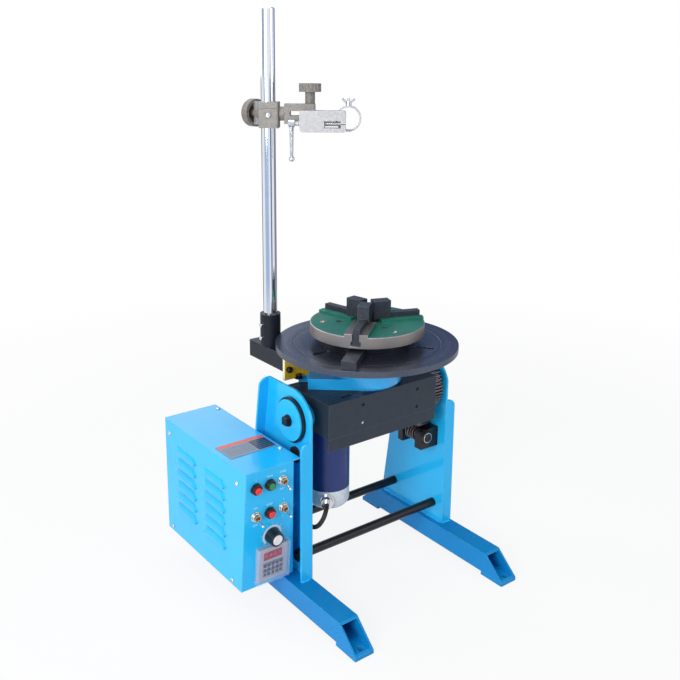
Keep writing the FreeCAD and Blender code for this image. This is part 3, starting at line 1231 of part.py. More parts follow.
# ================================================================ assembly
def build():
    keep("foot_left", foot(LEFT_FOOT_X))
    keep("foot_right", foot(RIGHT_FOOT_X))
    keep("foot_pads", foot_pads())
    keep("side_plate_left", side_plate_left())
    keep("side_plate_right", side_plate_right())
    keep("tie_rods", tie_rods())
    keep("tie_rod_nuts", tie_rod_nuts())
    keep("cable_grommet", grommet())
    keep("hub_ring", hub_ring())
    keep("worm_bracket", worm_bracket())
    keep("worm_shaft", worm_shaft())
    keep("idler_gear", idler_gear())
    keep("cradle_shell", cradle_shell())
    keep("trunnion_left", trunnion_left())
    keep("hub_bolt", hub_bolt())
    keep("tilt_wheel", worm_wheel())
    keep("spindle_housing", spindle_housing())
    keep("gearmotor", gearmotor())
    keep("motor_cap", motor_cap())
    keep("cable_connector", cable_connector())
    keep("motor_cable", motor_cable())
    keep("stand_bracket", stand_bracket())
    keep("stand_arm", stand_arm())
    keep("pole_sleeve", pole_sleeve())
    keep("sleeve_screws", sleeve_screws())
    keep("stand_pole", stand_pole())
    keep("table_spindle", table_spindle())
    keep("work_table", work_table())
    keep("locating_bar", locating_bar())
    keep("chuck_adapter", rod(ADAPTER_R, (0, 0, TABLE_TOP), (0, 0, CHUCK_BOTTOM)))
    keep("chuck_body", chuck_body())
    for number, turn in enumerate(jaw_turns(), 1):
        keep("jaw_%d" % number, jaw(turn))
    keep("box_chassis", box_chassis())
    keep("box_cover", box_cover())
    keep("cover_screws", cover_screws())
    keep("label_plate", label_plate())
    keep("button_collars", button_collars())
    for name, place in zip(("button_power", "button_run", "button_stop"), BUTTON_AT):
        keep(name, button(*place))
    keep("toggle_bushings", toggle_bushings())
    for number, place in enumerate(TOGGLE_AT, 1):
        keep("toggle_lever_%d" % number, toggle_lever(*place))
    keep("dial_ring", dial_ring())
    keep("speed_knob", speed_knob())
    keep("speed_knob_cap", speed_knob_cap())
    keep("timer_body", timer_body())
    keep("timer_cover", timer_cover())
    keep("circuit_board", circuit_board())
    keep("clamp_block", clamp_block())
    keep("clamp_knob", clamp_knob())
    keep("torch_arm", torch_arm())
    keep("arm_knob", arm_knob())
    keep("torch_holder", torch_holder())
    keep("holder_lever", holder_lever())
    keep("holder_strap", holder_strap())
    keep("wing_nut", wing_nut())


ORIGIN_X = (BOX_LEFT - LOUVRE_OUT + RIGHT_FOOT_X + FOOT_W) / 2
ORIGIN_Y = (FOOT_FRONT + BOX_REAR) / 2


def export():
    os.makedirs("parts", exist_ok=True)
    for name, shape in PIECES.items():
        placed = shape.copy()
        placed.translate(Vector(-ORIGIN_X, -ORIGIN_Y, 0))
        placed.exportStep("parts/%s.step" % name)


build()
export()
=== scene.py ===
import math

import bmesh
import bpy
from mathutils import Matrix, Vector


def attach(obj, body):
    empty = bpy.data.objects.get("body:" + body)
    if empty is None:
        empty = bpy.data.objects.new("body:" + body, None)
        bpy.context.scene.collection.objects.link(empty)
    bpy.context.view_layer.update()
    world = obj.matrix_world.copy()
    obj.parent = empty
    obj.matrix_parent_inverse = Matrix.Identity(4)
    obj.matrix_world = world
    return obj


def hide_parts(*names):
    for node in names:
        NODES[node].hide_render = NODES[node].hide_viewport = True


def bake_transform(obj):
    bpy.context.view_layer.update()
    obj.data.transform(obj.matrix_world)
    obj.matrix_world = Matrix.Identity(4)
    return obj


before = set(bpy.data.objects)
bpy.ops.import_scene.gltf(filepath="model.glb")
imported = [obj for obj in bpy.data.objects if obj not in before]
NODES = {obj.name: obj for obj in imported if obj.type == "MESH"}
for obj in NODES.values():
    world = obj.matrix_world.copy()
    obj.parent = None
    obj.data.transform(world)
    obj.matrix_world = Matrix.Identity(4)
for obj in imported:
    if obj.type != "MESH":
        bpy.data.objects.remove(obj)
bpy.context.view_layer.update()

MM = 0.001
SHIFT = Vector((0.0551, -0.007, 0.0))   # from the table's axis to the row frame
FRONT, LEFT, TOP = (0, -1, 0), (-1, 0, 0), (0, 0, 1)
POLE = (-104.01, 150.0)                 # the pole's axis, in mm from the table's
BOX_SIDE, BOX_LID = -280.0, 272.0       # outer faces of the control box's left side and lid
CHUCK_TOP = 461.5
JAW_TURNS = (-140, -20, 100)            # where the three jaws stand, in degrees


def at(x, y, z):
    """A point in millimetres from the table's axis and the floor, in the row frame."""
    return Vector((x * MM, y * MM, z * MM)) + SHIFT


# ------------------------------------------------------------------ camera
AZ, EL, ROLL, DIST = math.radians(-37.405), math.radians(12.838), math.radians(-0.456), 1.4403
AIM = Vector((-0.0058, -0.007, 0.5779))
FRAME_PX, FOCAL_PX, SHIFT_PX = 680, 860.36, -80
SENSOR = 36.0
back = Vector((math.sin(AZ) * math.cos(EL), -math.cos(AZ) * math.cos(EL), math.sin(EL)))
flat_right = Vector((math.cos(AZ), math.sin(AZ), 0))
flat_up = back.cross(flat_right)
right = flat_right * math.cos(ROLL) - flat_up * math.sin(ROLL)
up = flat_right * math.sin(ROLL) + flat_up * math.cos(ROLL)
cam_data = bpy.data.cameras.new("camera")
cam = bpy.data.objects.new("camera", cam_data)
bpy.context.collection.objects.link(cam)
cam_data.sensor_width = SENSOR
cam_data.lens = FOCAL_PX / FRAME_PX * SENSOR
cam_data.shift_y = SHIFT_PX / FRAME_PX
cam_data.clip_start, cam_data.clip_end = 0.05, 200
spot = AIM + back * DIST
cam.matrix_world = Matrix((
    (right.x, up.x, back.x, spot.x),
    (right.y, up.y, back.y, spot.y),
    (right.z, up.z, back.z, spot.z),
    (0, 0, 0, 1)))
bpy.context.scene.camera = cam


# ------------------------------------------------------------------ materials
class Tree:
    """A material and short calls for its nodes."""

    def __init__(self, name):
        self.mat = bpy.data.materials.new(name)
        self.mat.use_nodes = True
        self.nodes = self.mat.node_tree.nodes
        self.links = self.mat.node_tree.links
        self.nodes.clear()
        self.out = self.nodes.new("ShaderNodeOutputMaterial")
        self.shader = self.nodes.new("ShaderNodeBsdfPrincipled")
        self.links.new(self.shader.outputs[0], self.out.inputs[0])
        self.coord = self.nodes.new("ShaderNodeTexCoord").outputs["Object"]

    def put(self, socket, value):
        if isinstance(value, bpy.types.NodeSocket):
            self.links.new(value, socket)
        elif value is not None:
            socket.default_value = value

    def math(self, kind, a, b=None, c=None):
        n = self.nodes.new("ShaderNodeMath")
        n.operation = kind
        for i, v in enumerate((a, b, c)):
            if v is not None:
                self.put(n.inputs[i], v)
        return n.outputs[0]

    def xyz(self, centre=(0, 0, 0)):
        sub = self.nodes.new("ShaderNodeVectorMath")
        sub.operation = "SUBTRACT"
        self.put(sub.inputs[0], self.coord)
        sub.inputs[1].default_value = tuple(centre)
        sep = self.nodes.new("ShaderNodeSeparateXYZ")
        self.links.new(sub.outputs[0], sep.inputs[0])
        return sep.outputs

    def join(self, x, y, z):
        n = self.nodes.new("ShaderNodeCombineXYZ")
        for i, v in enumerate((x, y, z)):
            self.put(n.inputs[i], v)
        return n.outputs[0]

    def noise(self, scale, detail=3, rough=0.55, vector=None):
        n = self.nodes.new("ShaderNodeTexNoise")
        self.put(n.inputs["Vector"], vector or self.coord)
        n.inputs["Scale"].default_value = scale
        n.inputs["Detail"].default_value = detail
        n.inputs["Roughness"].default_value = rough
        return n.outputs["Fac"]

    def range(self, value, a0, a1, b0, b1):
        n = self.nodes.new("ShaderNodeMapRange")
        self.put(n.inputs["Value"], value)
        for name, v in (("From Min", a0), ("From Max", a1), ("To Min", b0), ("To Max", b1)):
            n.inputs[name].default_value = v
        return n.outputs[0]

    def mix(self, fac, a, b):
        n = self.nodes.new("ShaderNodeMix")
        n.data_type = "RGBA"
        self.put(n.inputs[0], fac)
        for socket, v in ((n.inputs[6], a), (n.inputs[7], b)):
            self.put(socket, rgba(v) if isinstance(v, (tuple, list)) else v)
        return n.outputs[2]

    def bump(self, height, strength, distance, normal=None):
        n = self.nodes.new("ShaderNodeBump")
        n.inputs["Strength"].default_value = strength
        n.inputs["Distance"].default_value = distance
        self.put(n.inputs["Height"], height)
        if normal is not None:
            self.links.new(normal, n.inputs["Normal"])
        return n.outputs[0]

    def round_edges(self, radius):
        n = self.nodes.new("ShaderNodeBevel")
        n.samples = 4
        n.inputs["Radius"].default_value = radius
        return n.outputs[0]

    def worn(self, radius):
        """1 near a sharp edge, 0 on a flat face."""
        b = self.round_edges(radius)
        g = self.nodes.new("ShaderNodeNewGeometry").outputs["Normal"]
        d = self.nodes.new("ShaderNodeVectorMath")
        d.operation = "DOT_PRODUCT"
        self.links.new(b, d.inputs[0])
        self.links.new(g, d.inputs[1])
        return self.range(d.outputs["Value"], 0.995, 0.90, 0.0, 1.0)


def lin(v):
    return v / 12.92 if v <= 0.04045 else ((v + 0.055) / 1.055) ** 2.4


def rgba(c):
    """A colour given as 0-255 screen values."""
    return (lin(c[0] / 255), lin(c[1] / 255), lin(c[2] / 255), 1.0)


def scaled(c, k):
    return tuple(min(255, v * k) for v in c)


def finish(name, colour, rough=0.4, metal=0.0, vary=0.05, grain=90.0, dents=0.0, dent_scale=500.0,
           edge=0.0005, wear_and_highlight=None, wear_and_highlight_by=0.0, coat=0.0, spread=0.06, specular=0.5):
    """A worn, slightly uneven surface: colour drift, roughness drift, fine bump, soft edges, and a paler
    colour on sharp edges that is partly edge wear and partly painted highlight.
    """
    t = Tree(name)
    drift = t.noise(grain, 4)
    base = t.mix(t.range(drift, 0.3, 0.7, 0, 1), scaled(colour, 1 - vary), scaled(colour, 1 + vary))
    # paler colour on sharp edges: partly edge wear, partly a painted highlight
    if wear_and_highlight:
        mask = t.math("MULTIPLY", t.worn(edge * 1.6), t.range(t.noise(260, 3), 0.35, 0.6, 0.25, wear_and_highlight_by))
        base = t.mix(mask, base, wear_and_highlight)
    t.put(t.shader.inputs["Base Color"], base)
    t.shader.inputs["Metallic"].default_value = metal
    t.shader.inputs["Specular IOR Level"].default_value = specular
    sheen = t.noise(grain * 2.3, 3)
    t.put(t.shader.inputs["Roughness"], t.range(sheen, 0.3, 0.7, rough - spread, rough + spread))
    normal = t.round_edges(edge) if edge else None
    if dents:
        normal = t.bump(t.noise(dent_scale, 3), dents, 0.0004, normal)
    if normal is not None:
        t.links.new(normal, t.shader.inputs["Normal"])
    t.shader.inputs["Coat Weight"].default_value = coat
    t.shader.inputs["Coat Roughness"].default_value = 0.08
    return t


blue = finish("blue_paint", (34, 190, 250), rough=0.22, vary=0.012, grain=18, dents=0.03, dent_scale=420,
              edge=0.0009, wear_and_highlight=(120, 216, 255), wear_and_highlight_by=0.7, coat=0.4, spread=0.04, specular=0.15)
# a darker copy of the box's blue for the feet and their pads: painted shade, as the paint is the same
shaded_foot_blue = finish("blue_feet_painted_shade", (12, 140, 208), rough=0.24, vary=0.012, grain=18, dents=0.03, edge=0.0009,
                  wear_and_highlight=(90, 196, 250), wear_and_highlight_by=0.6, coat=0.1, specular=0.12)
blue_housing = finish("blue_housing", (28, 176, 246), rough=0.22, vary=0.015, grain=18, dents=0.04,
                      edge=0.0009, wear_and_highlight=(120, 208, 255), wear_and_highlight_by=0.7, coat=0.4)
shell = finish("anthracite", (42, 52, 64), rough=0.42, vary=0.05, grain=60, dents=0.25, dent_scale=900,
               edge=0.0009, wear_and_highlight=(112, 122, 138), wear_and_highlight_by=0.6, spread=0.07, specular=0.3)
black = finish("black_steel", (20, 22, 27), rough=0.38, vary=0.15, grain=90, dents=0.15, edge=0.0006,
               wear_and_highlight=(88, 92, 104), wear_and_highlight_by=0.7, metal=0.3)
arm_black = finish("stand_black", (22, 28, 38), rough=0.42, vary=0.1, grain=70, dents=0.3, dent_scale=800,
                   edge=0.0012, wear_and_highlight=(88, 94, 106), wear_and_highlight_by=0.5, specular=0.25)
jaw_steel = finish("jaw_steel", (52, 57, 66), rough=0.42, vary=0.10, grain=120, dents=0.2, edge=0.0006,
                   wear_and_highlight=(128, 134, 146), wear_and_highlight_by=0.8, metal=0.35)
steel = finish("machined_steel", (176, 178, 182), rough=0.3, vary=0.06, grain=150, metal=1.0, edge=0.0004,
               wear_and_highlight=(228, 228, 230), wear_and_highlight_by=0.5)
gear_steel = finish("gear_steel", (96, 92, 98), rough=0.36, vary=0.12, grain=200, metal=0.9, edge=0.0005,
                    wear_and_highlight=(222, 206, 204), wear_and_highlight_by=0.9)
navy = finish("navy_motor", (20, 44, 108), rough=0.38, vary=0.05, grain=50, dents=0.2, edge=0.0008,
              wear_and_highlight=(60, 90, 160), wear_and_highlight_by=0.5)
alloy = finish("cast_alloy", (212, 220, 226), rough=0.45, vary=0.05, grain=160, metal=0.1, dents=0.35,
               dent_scale=1300, edge=0.0007, wear_and_highlight=(226, 230, 236), wear_and_highlight_by=0.5)
plated = finish("bright_plating", (214, 214, 216), rough=0.16, vary=0.03, grain=120, metal=1.0, edge=0.0003)
brass = finish("brass_plating", (206, 172, 128), rough=0.22, vary=0.05, grain=150, metal=1.0, edge=0.0003,
               wear_and_highlight=(244, 230, 206), wear_and_highlight_by=0.6)
zinc = finish("zinc_yellow", (214, 172, 14), rough=0.38, vary=0.12, grain=45, metal=0.1, dents=0.2,
              edge=0.0016, wear_and_highlight=(255, 238, 176), wear_and_highlight_by=1.0)
highlight_cream = finish("cream_edge_highlight", (255, 244, 206), rough=0.4, vary=0.03, grain=120, edge=0.0003)
casting = finish("grey_casting", (150, 145, 139), rough=0.55, vary=0.09, grain=240, metal=0.25, dents=0.7,
                 dent_scale=1500, edge=0.0011, wear_and_highlight=(196, 192, 186), wear_and_highlight_by=0.6)
casting_dark = finish("knob_casting", (132, 126, 120), rough=0.55, vary=0.1, grain=240, metal=0.3, dents=0.7,
                      dent_scale=1500, edge=0.0010, wear_and_highlight=(186, 180, 172), wear_and_highlight_by=0.6)
casting_pale = finish("pale_casting", (188, 186, 187), rough=0.42, vary=0.05, grain=200, metal=0.35,
                      dents=0.4, dent_scale=1500, edge=0.0012, wear_and_highlight=(244, 244, 246), wear_and_highlight_by=0.7)
rubber = finish("black_rubber", (18, 18, 20), rough=0.62, vary=0.1, grain=200, dents=0.2, dent_scale=1600,
                edge=0.0004)
plastic = finish("black_plastic", (16, 16, 18), rough=0.33, vary=0.08, grain=180, dents=0.15, dent_scale=1600,
                 edge=0.0005, coat=0.2)
white = finish("white_plastic", (236, 236, 232), rough=0.3, vary=0.02, grain=180, edge=0.0003)
red = finish("red_plastic", (222, 22, 22), rough=0.2, vary=0.05, grain=180, edge=0.0004, coat=0.5)
green = finish("green_plastic", (10, 120, 52), rough=0.2, vary=0.05, grain=180, edge=0.0004, coat=0.5)
timer_grey = finish("timer_grey", (172, 176, 190), rough=0.4, vary=0.03, grain=180, edge=0.0004)
board = finish("circuit_board", (20, 92, 52), rough=0.4, vary=0.15, grain=120, edge=0.0)
ink = finish("panel_print", (214, 234, 246), rough=0.5, vary=0.04, grain=300, edge=0.0)
label_pale = finish("label_pale", (128, 142, 160), rough=0.35, vary=0.04, grain=200, edge=0.0)
label_dark = finish("label_dark", (28, 34, 52), rough=0.3, vary=0.06, grain=200, edge=0.0)
label_red = finish("label_red", (240, 96, 78), rough=0.35, vary=0.04, grain=200, edge=0.0)
keys = finish("key_grey", (72, 78, 92), rough=0.5, vary=0.04, grain=200, edge=0.0003)
keyboard_grey = finish("keyboard_grey", (122, 130, 148), rough=0.4, vary=0.04, grain=200, edge=0.0)


def chrome():
    """Bright plating with faint marks along its length."""
    t = Tree("chrome")
    t.put(t.shader.inputs["Base Color"], t.mix(t.noise(30, 2), (222, 226, 232), (236, 238, 242)))
    t.shader.inputs["Metallic"].default_value = 1.0
    x, y, z = t.xyz()
    lengthwise = t.noise(1400, 2, vector=t.join(x, y, t.math("MULTIPLY", z, 0.01)))
    t.put(t.shader.inputs["Roughness"], t.range(lengthwise, 0.3, 0.7, 0.05, 0.11))
    return t


def turned_metal(name, colour, axis, rough, metal, strength, scale=900.0, sheen=(20, 20, 24), edges=0.75):
    """Lathe marks: rings round the vertical axis through `axis`, with soft rings of the sheen colour and a
    painted highlight along sharp edges.
    """
    t = Tree(name)
    x, y, z = t.xyz((axis.x, axis.y, 0))
    radius = t.math("SQRT", t.math("ADD", t.math("POWER", x, 2.0), t.math("POWER", y, 2.0)))
    marks = t.noise(scale, 4, vector=t.join(radius, 0.0, z))
    wide = t.noise(60, 2, vector=t.join(radius, 0.0, 0.0))
    base = t.mix(t.range(marks, 0.35, 0.65, 0, 1), scaled(colour, 0.88), scaled(colour, 1.12))
    base = t.mix(t.range(wide, 0.45, 0.7, 0, 0.35), base, sheen)
    # paler colour along sharp edges: a painted highlight
    edge = t.math("MULTIPLY", t.worn(0.0011), edges)
    t.put(t.shader.inputs["Base Color"], t.mix(edge, base, scaled(colour, 1.9)))
    t.shader.inputs["Metallic"].default_value = metal
    t.put(t.shader.inputs["Roughness"], t.range(marks, 0.3, 0.7, rough - 0.07, rough + 0.07))
    t.shader.inputs["Anisotropic"].default_value = 0.6
    tangent = t.nodes.new("ShaderNodeTangent")
    tangent.direction_type = "RADIAL"
    tangent.axis = "Z"
    t.links.new(tangent.outputs[0], t.shader.inputs["Tangent"])
    t.links.new(t.bump(marks, strength, 0.0002, t.round_edges(0.0008)), t.shader.inputs["Normal"])
    return t, radius, x, y, z


GREEN_R, BORE_EDGE_R, GUIDE_HALF = 98.5, 21.5, 20.0   # the paint's reach, the bare ring, half a guide


def chuck_iron():
    """Turned iron; the face is painted green but for the bore's edge and the guide at the front left."""
    t, radius, x, y, z = turned_metal("chuck_iron", (150, 143, 139), SHIFT, 0.36, 0.75, 0.5, scale=1500,
                                      sheen=(120, 112, 108), edges=0.4)
    c, s = math.cos(math.radians(JAW_TURNS[0])), math.sin(math.radians(JAW_TURNS[0]))
    along = t.math("ADD", t.math("MULTIPLY", x, c), t.math("MULTIPLY", y, s))
    across = t.math("ABSOLUTE", t.math("SUBTRACT", t.math("MULTIPLY", y, c), t.math("MULTIPLY", x, s)))
    on_guide = t.math("MULTIPLY", t.math("LESS_THAN", across, GUIDE_HALF * MM),
                      t.math("GREATER_THAN", along, 0.0))
    top = t.math("GREATER_THAN", z, CHUCK_TOP * MM - 0.0006)
    inside = t.math("LESS_THAN", radius, GREEN_R * MM)
    bare = t.math("MAXIMUM", on_guide, t.math("LESS_THAN", radius, BORE_EDGE_R * MM))
    painted = t.math("MULTIPLY", t.math("MULTIPLY", top, inside), t.math("SUBTRACT", 1.0, bare))
    chips = t.range(t.noise(300, 4), 0.28, 0.31, 0.0, 1.0)
    painted = t.math("MULTIPLY", painted, chips)
    paint_colour = t.mix(t.range(t.noise(40, 3), 0.3, 0.7, 0, 1), (22, 104, 88), (34, 120, 102))
    base = t.shader.inputs["Base Color"].links[0].from_socket
    t.put(t.shader.inputs["Base Color"], t.mix(painted, base, paint_colour))
    t.put(t.shader.inputs["Metallic"], t.math("MULTIPLY", t.math("SUBTRACT", 1.0, painted), 0.75))
    return t


chrome_mat = chrome()
# the table's pale lilac sheen rings are a painted reflection
table_mat = turned_metal("table_steel", (84, 90, 104), SHIFT, 0.27, 0.8, 0.4, scale=1100,
                         sheen=(128, 130, 146), edges=0.12)[0]
adapter_mat = turned_metal("adapter_steel", (40, 42, 52), SHIFT, 0.34, 0.7, 0.5, scale=1300)[0]
chuck_mat = chuck_iron()


def clear_plastic():
    """Clear sheet, hazier where it is seen edge on and along its edges."""
    t = Tree("clear_cover")
    s = t.shader
    face = t.nodes.new("ShaderNodeLayerWeight")
    face.inputs["Blend"].default_value = 0.35
    edge = t.worn(0.0012)
    haze = t.math("ADD", t.math("MULTIPLY", face.outputs["Facing"], 0.20), 0.02)
    t.put(s.inputs["Alpha"], t.math("MINIMUM", t.math("ADD", haze, t.math("MULTIPLY", edge, 0.4)), 0.95))
    t.put(s.inputs["Base Color"], t.mix(edge, (222, 222, 244), (250, 250, 255)))
    s.inputs["Roughness"].default_value = 0.06
    s.inputs["Coat Weight"].default_value = 0.6
    t.links.new(t.bump(t.noise(160, 2), 0.06, 0.0003), s.inputs["Normal"])
    return t


clear = clear_plastic()


def display_red():
    """Dark red glass with fine upright lines."""
    t = Tree("display_red")
    lines = t.range(t.math("SINE", t.math("MULTIPLY", t.xyz()[0], 2600.0)), -1, 1, 0, 1)
    t.put(t.shader.inputs["Base Color"], t.mix(lines, (150, 34, 44), (176, 52, 60)))
    t.shader.inputs["Roughness"].default_value = 0.15
    return t


display = display_red()

LOOKS = {
    shaded_foot_blue: "foot_left foot_right foot_pads",
    blue: "side_plate_left side_plate_right box_chassis box_cover trunnion_left dial_ring",
    blue_housing: "spindle_housing",
    shell: "cradle_shell",
    black: "tie_rods tie_rod_nuts hub_ring worm_bracket hub_bolt",
    arm_black: "stand_arm pole_sleeve",
    jaw_steel: "jaw_1 jaw_2 jaw_3 locating_bar",
    adapter_mat: "chuck_adapter",
    gear_steel: "tilt_wheel idler_gear worm_shaft",
    steel: "table_spindle",
    table_mat: "work_table",
    chuck_mat: "chuck_body",
    navy: "gearmotor",
    alloy: "motor_cap",
    plated: "cable_connector sleeve_screws toggle_lever_1 toggle_lever_2 toggle_lever_3 holder_lever "
            "wing_nut",
    brass: "toggle_bushings",
    chrome_mat: "stand_pole",
    zinc: "stand_bracket",
    casting: "clamp_block torch_arm",
    casting_dark: "clamp_knob arm_knob",
    casting_pale: "torch_holder holder_strap",
    rubber: "cable_grommet",
    plastic: "button_collars speed_knob",
    white: "speed_knob_cap",
    red: "button_power button_stop",
    green: "button_run",
    timer_grey: "timer_body",
    clear: "timer_cover",
    label_pale: "label_plate",
    board: "circuit_board",
}
for look, names in LOOKS.items():
    for name in names.split():
        for slot in NODES[name].material_slots:
            slot.material = look.mat


# ------------------------------------------------------------------ mesh helpers
def link(name, mesh, look, body, smooth=True):
    obj = bpy.data.objects.new(name, mesh)
    bpy.context.collection.objects.link(obj)
    if look is not None and not mesh.materials:
        mesh.materials.append(look.mat)
    if smooth:
        mesh.polygons.foreach_set("use_smooth", [True] * len(mesh.polygons))
    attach(obj, body)
    return obj


def made(name, bm, look, body, smooth=True):
    """The finished bmesh as an object that rides on body."""
    mesh = bpy.data.meshes.new(name)
    bm.to_mesh(mesh)
    bm.free()
    return link(name, mesh, look, body, smooth)


def wall(bm, low, high):
    """Faces between two rings with the same number of points."""
    for i in range(len(low)):
        j = (i + 1) % len(low)
        bm.faces.new((low[i], low[j], high[j], high[i]))


def tube(bm, rings):
    """Walls between neighbouring rings, with both ends closed."""
    for low, high in zip(rings, rings[1:]):
        wall(bm, low, high)
    bm.faces.new(list(reversed(rings[0])))
    bm.faces.new(rings[-1])


def frame_of(axis):
    """Three unit vectors, the last along axis."""
    w = Vector(axis).normalized()
    u = Vector((0, 0, 1) if abs(w.z) < 0.9 else (1, 0, 0)).cross(w).normalized()
    return u, w.cross(u), w


def lathe(name, origin, axis, profile, look, body, steps=48, shape=None):
    """A closed form turned about axis.

    profile is (radius, along) in mm, and shape(ring, angle, radius) may change a point's radius.
    """
    u, v, w = frame_of(axis)
    bm = bmesh.new()
    rings = []
    for k, (r, h) in enumerate(profile):
        ring = []
        for i in range(steps):
            a = 2 * math.pi * i / steps
            rr = shape(k, a, r) if shape else r
            ring.append(bm.verts.new(origin + (u * math.cos(a) + v * math.sin(a)) * rr * MM + w * h * MM))
        rings.append(ring)
    tube(bm, rings)
    return made(name, bm, look, body)


def thread(name, origin, axis, length, outer, pitch, look, body, steps=36):
    """A screw thread as a height field: ridge depth follows the helix, and both ends are chamfered."""
    rings = max(8, int(length / pitch * 8))
    depth = 0.6 * pitch

    def shape(k, a, r):
        h = length * k / rings
        phase = (h / pitch - a / (2 * math.pi)) % 1.0
        cut = depth * (1 - abs(2 * phase - 1))
        end = min(h, length - h)
        return min(outer - cut, outer - depth + end)

    profile = [(outer, length * k / rings) for k in range(rings + 1)]
    return lathe(name, origin, axis, profile, look, body, steps, shape)


def bead(name, points, radius, look, body, ripple=0.22, step=1.3, sides=10):
    """A weld bead: a tube whose radius ripples along its path, half sunk in the corner."""
    path = []
    for a, b in zip(points, points[1:]):
        a, b = at(*a), at(*b)
        n = max(2, int((b - a).length / MM / step))
        path += [a.lerp(b, k / n) for k in range(n)]
    path.append(at(*points[-1]))
    bm = bmesh.new()
    rings = []
    for k, p in enumerate(path):
        d = (path[min(k + 1, len(path) - 1)] - path[max(k - 1, 0)]).normalized()
        u, v, _ = frame_of(d)
        taper = min(1.0, 0.35 + 0.4 * min(k, len(path) - 1 - k))
        wave = 1 + ripple * math.sin(k * 1.9) + 0.08 * math.sin(k * 0.7)
        r = radius * MM * taper * wave
        rings.append([bm.verts.new(p + (u * math.cos(a) + v * math.sin(a)) * r)
                      for a in (2 * math.pi * i / sides for i in range(sides))])
    tube(bm, rings)
    return made(name, bm, look, body)


def slab(name, corners, thick, normal, look, body, rim=0.0):
    """A thin plate with the given outline (points in the row frame) that stands out along normal."""
    bm = bmesh.new()
    n = Vector(normal).normalized() * thick * MM
    low = [bm.verts.new(c) for c in corners]
    high = [bm.verts.new(c + n) for c in corners]
    bm.faces.new(list(reversed(low)))
    bm.faces.new(high)
    wall(bm, low, high)
    bmesh.ops.recalc_face_normals(bm, faces=bm.faces)
    if rim:
        bmesh.ops.bevel(bm, geom=list(bm.edges), offset=rim * MM, segments=2, affect="EDGES")
    return made(name, bm, look, body, smooth=False)


def rounded(x0, x1, y0, y1, r, steps=5):
    """Corner points of a rectangle with round corners, in its own plane."""
    points = []
    centres = ((x1 - r, y1 - r), (x0 + r, y1 - r), (x0 + r, y0 + r), (x1 - r, y0 + r))
    for corner, (cx, cy) in enumerate(centres):
        for k in range(steps + 1):
            a = math.radians(90 * corner + 90 * k / steps)
            points.append((cx + r * math.cos(a), cy + r * math.sin(a)))
    return points


# ------------------------------------------------------------------ screw heads
def cross_head(name, seat, out, radius, height, look, body, turn=20.0):
    """Pan head with a cross recess pressed into it."""
    u, v, w = frame_of(out)
    steps, rings = 40, 12
    slot_half, slot_reach, slot_depth = 0.13 * radius, 0.62 * radius, 0.45 * height
    c, s = math.cos(math.radians(turn)), math.sin(math.radians(turn))
    bm = bmesh.new()
    grid = []
    for k in range(rings + 1):
        r = radius * (1 - k / rings)
        ring = []
        for i in range(steps):
            a = 2 * math.pi * i / steps
            x, y = r * math.cos(a), r * math.sin(a)
            p, q = abs(x * c + y * s), abs(y * c - x * s)
            h = height * math.sqrt(max(0.0, 1 - (r / radius) ** 2.6))
            if min(p, q) < slot_half and max(p, q) < slot_reach:
                h -= slot_depth
            ring.append(bm.verts.new(seat + (u * x + v * y) * MM + w * h * MM))
        grid.append(ring)
    for low, high in zip(grid, grid[1:-1]):
        wall(bm, low, high)
    bmesh.ops.contextual_create(bm, geom=grid[-2])
    for vert in grid[-1]:
        bm.verts.remove(vert)
    bm.faces.new(list(reversed(grid[0])))
    return made(name, bm, look, body)


def hex_head(name, seat, out, flats, height, look, body, washer=0.0, turn=10.0):
    """Hexagon head with chamfered corners, on a washer of the given radius if there is one."""
    base = 0.0
    if washer:
        lathe(name + "_washer", seat, out, [(washer, 0), (washer, 0.9), (washer - 0.3, 1.2)], look, body)
        base = 1.2
    corner, sixth = flats / math.sqrt(3), math.radians(60)

    def shape(k, a, r):
        local = (a + math.radians(turn)) % sixth - sixth / 2
        return min(flats / 2 / math.cos(local), r)

    profile = [(corner, base), (corner, base + height * 0.85), (flats / 2, base + height)]
    return lathe(name, seat, out, profile, look, body, 72, shape)


screws = [((BOX_SIDE, y, z), LEFT) for y, z in ((-22, 246.5), (0, 62.7), (214, 246.5), (214, 62.7))]
screws += [((-184, y, BOX_LID), TOP) for y in (-1, 208)]
heads = [cross_head("cover_screw_%d" % k, at(*p), d, 4.0, 2.3, plated, "base", 12 + 31 * k)
         for k, (p, d) in enumerate(screws, 1)]
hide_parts("cover_screws")

# ------------------------------------------------------------------ front panel
LEAN = math.atan2(21.0, 217.0)          # the panel's foot stands 21 mm back over its height of 217 mm
PANEL_FOOT_Y, PANEL_FOOT_Z = -29.0, 55.0
P_UP = Vector((0, -math.sin(LEAN), math.cos(LEAN)))
P_OUT = Vector((0, -math.cos(LEAN), -math.sin(LEAN)))


def panel(u, w, out=0.0):
    """A point on the control panel: u across in mm, w up the panel from its foot, out from its face."""
    return at(u, PANEL_FOOT_Y, PANEL_FOOT_Z) + P_UP * w * MM + P_OUT * out * MM


def print_text(name, words, u, w, size, out=0.06, look=ink):
    """Printed words centred on the panel's point (u, w)."""
    curve = bpy.data.curves.new(name, "FONT")
    curve.body = words
    curve.size = size * MM
    curve.align_x, curve.align_y = "CENTER", "CENTER"
    curve.extrude = 0.03 * MM
    obj = bpy.data.objects.new(name, curve)
    bpy.context.collection.objects.link(obj)
    curve.materials.append(look.mat)
    facing = Matrix((Vector((1, 0, 0)), P_UP, P_OUT)).transposed().to_4x4()
    obj.matrix_world = Matrix.Translation(panel(u, w, out)) @ facing
    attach(obj, "base")
    return obj


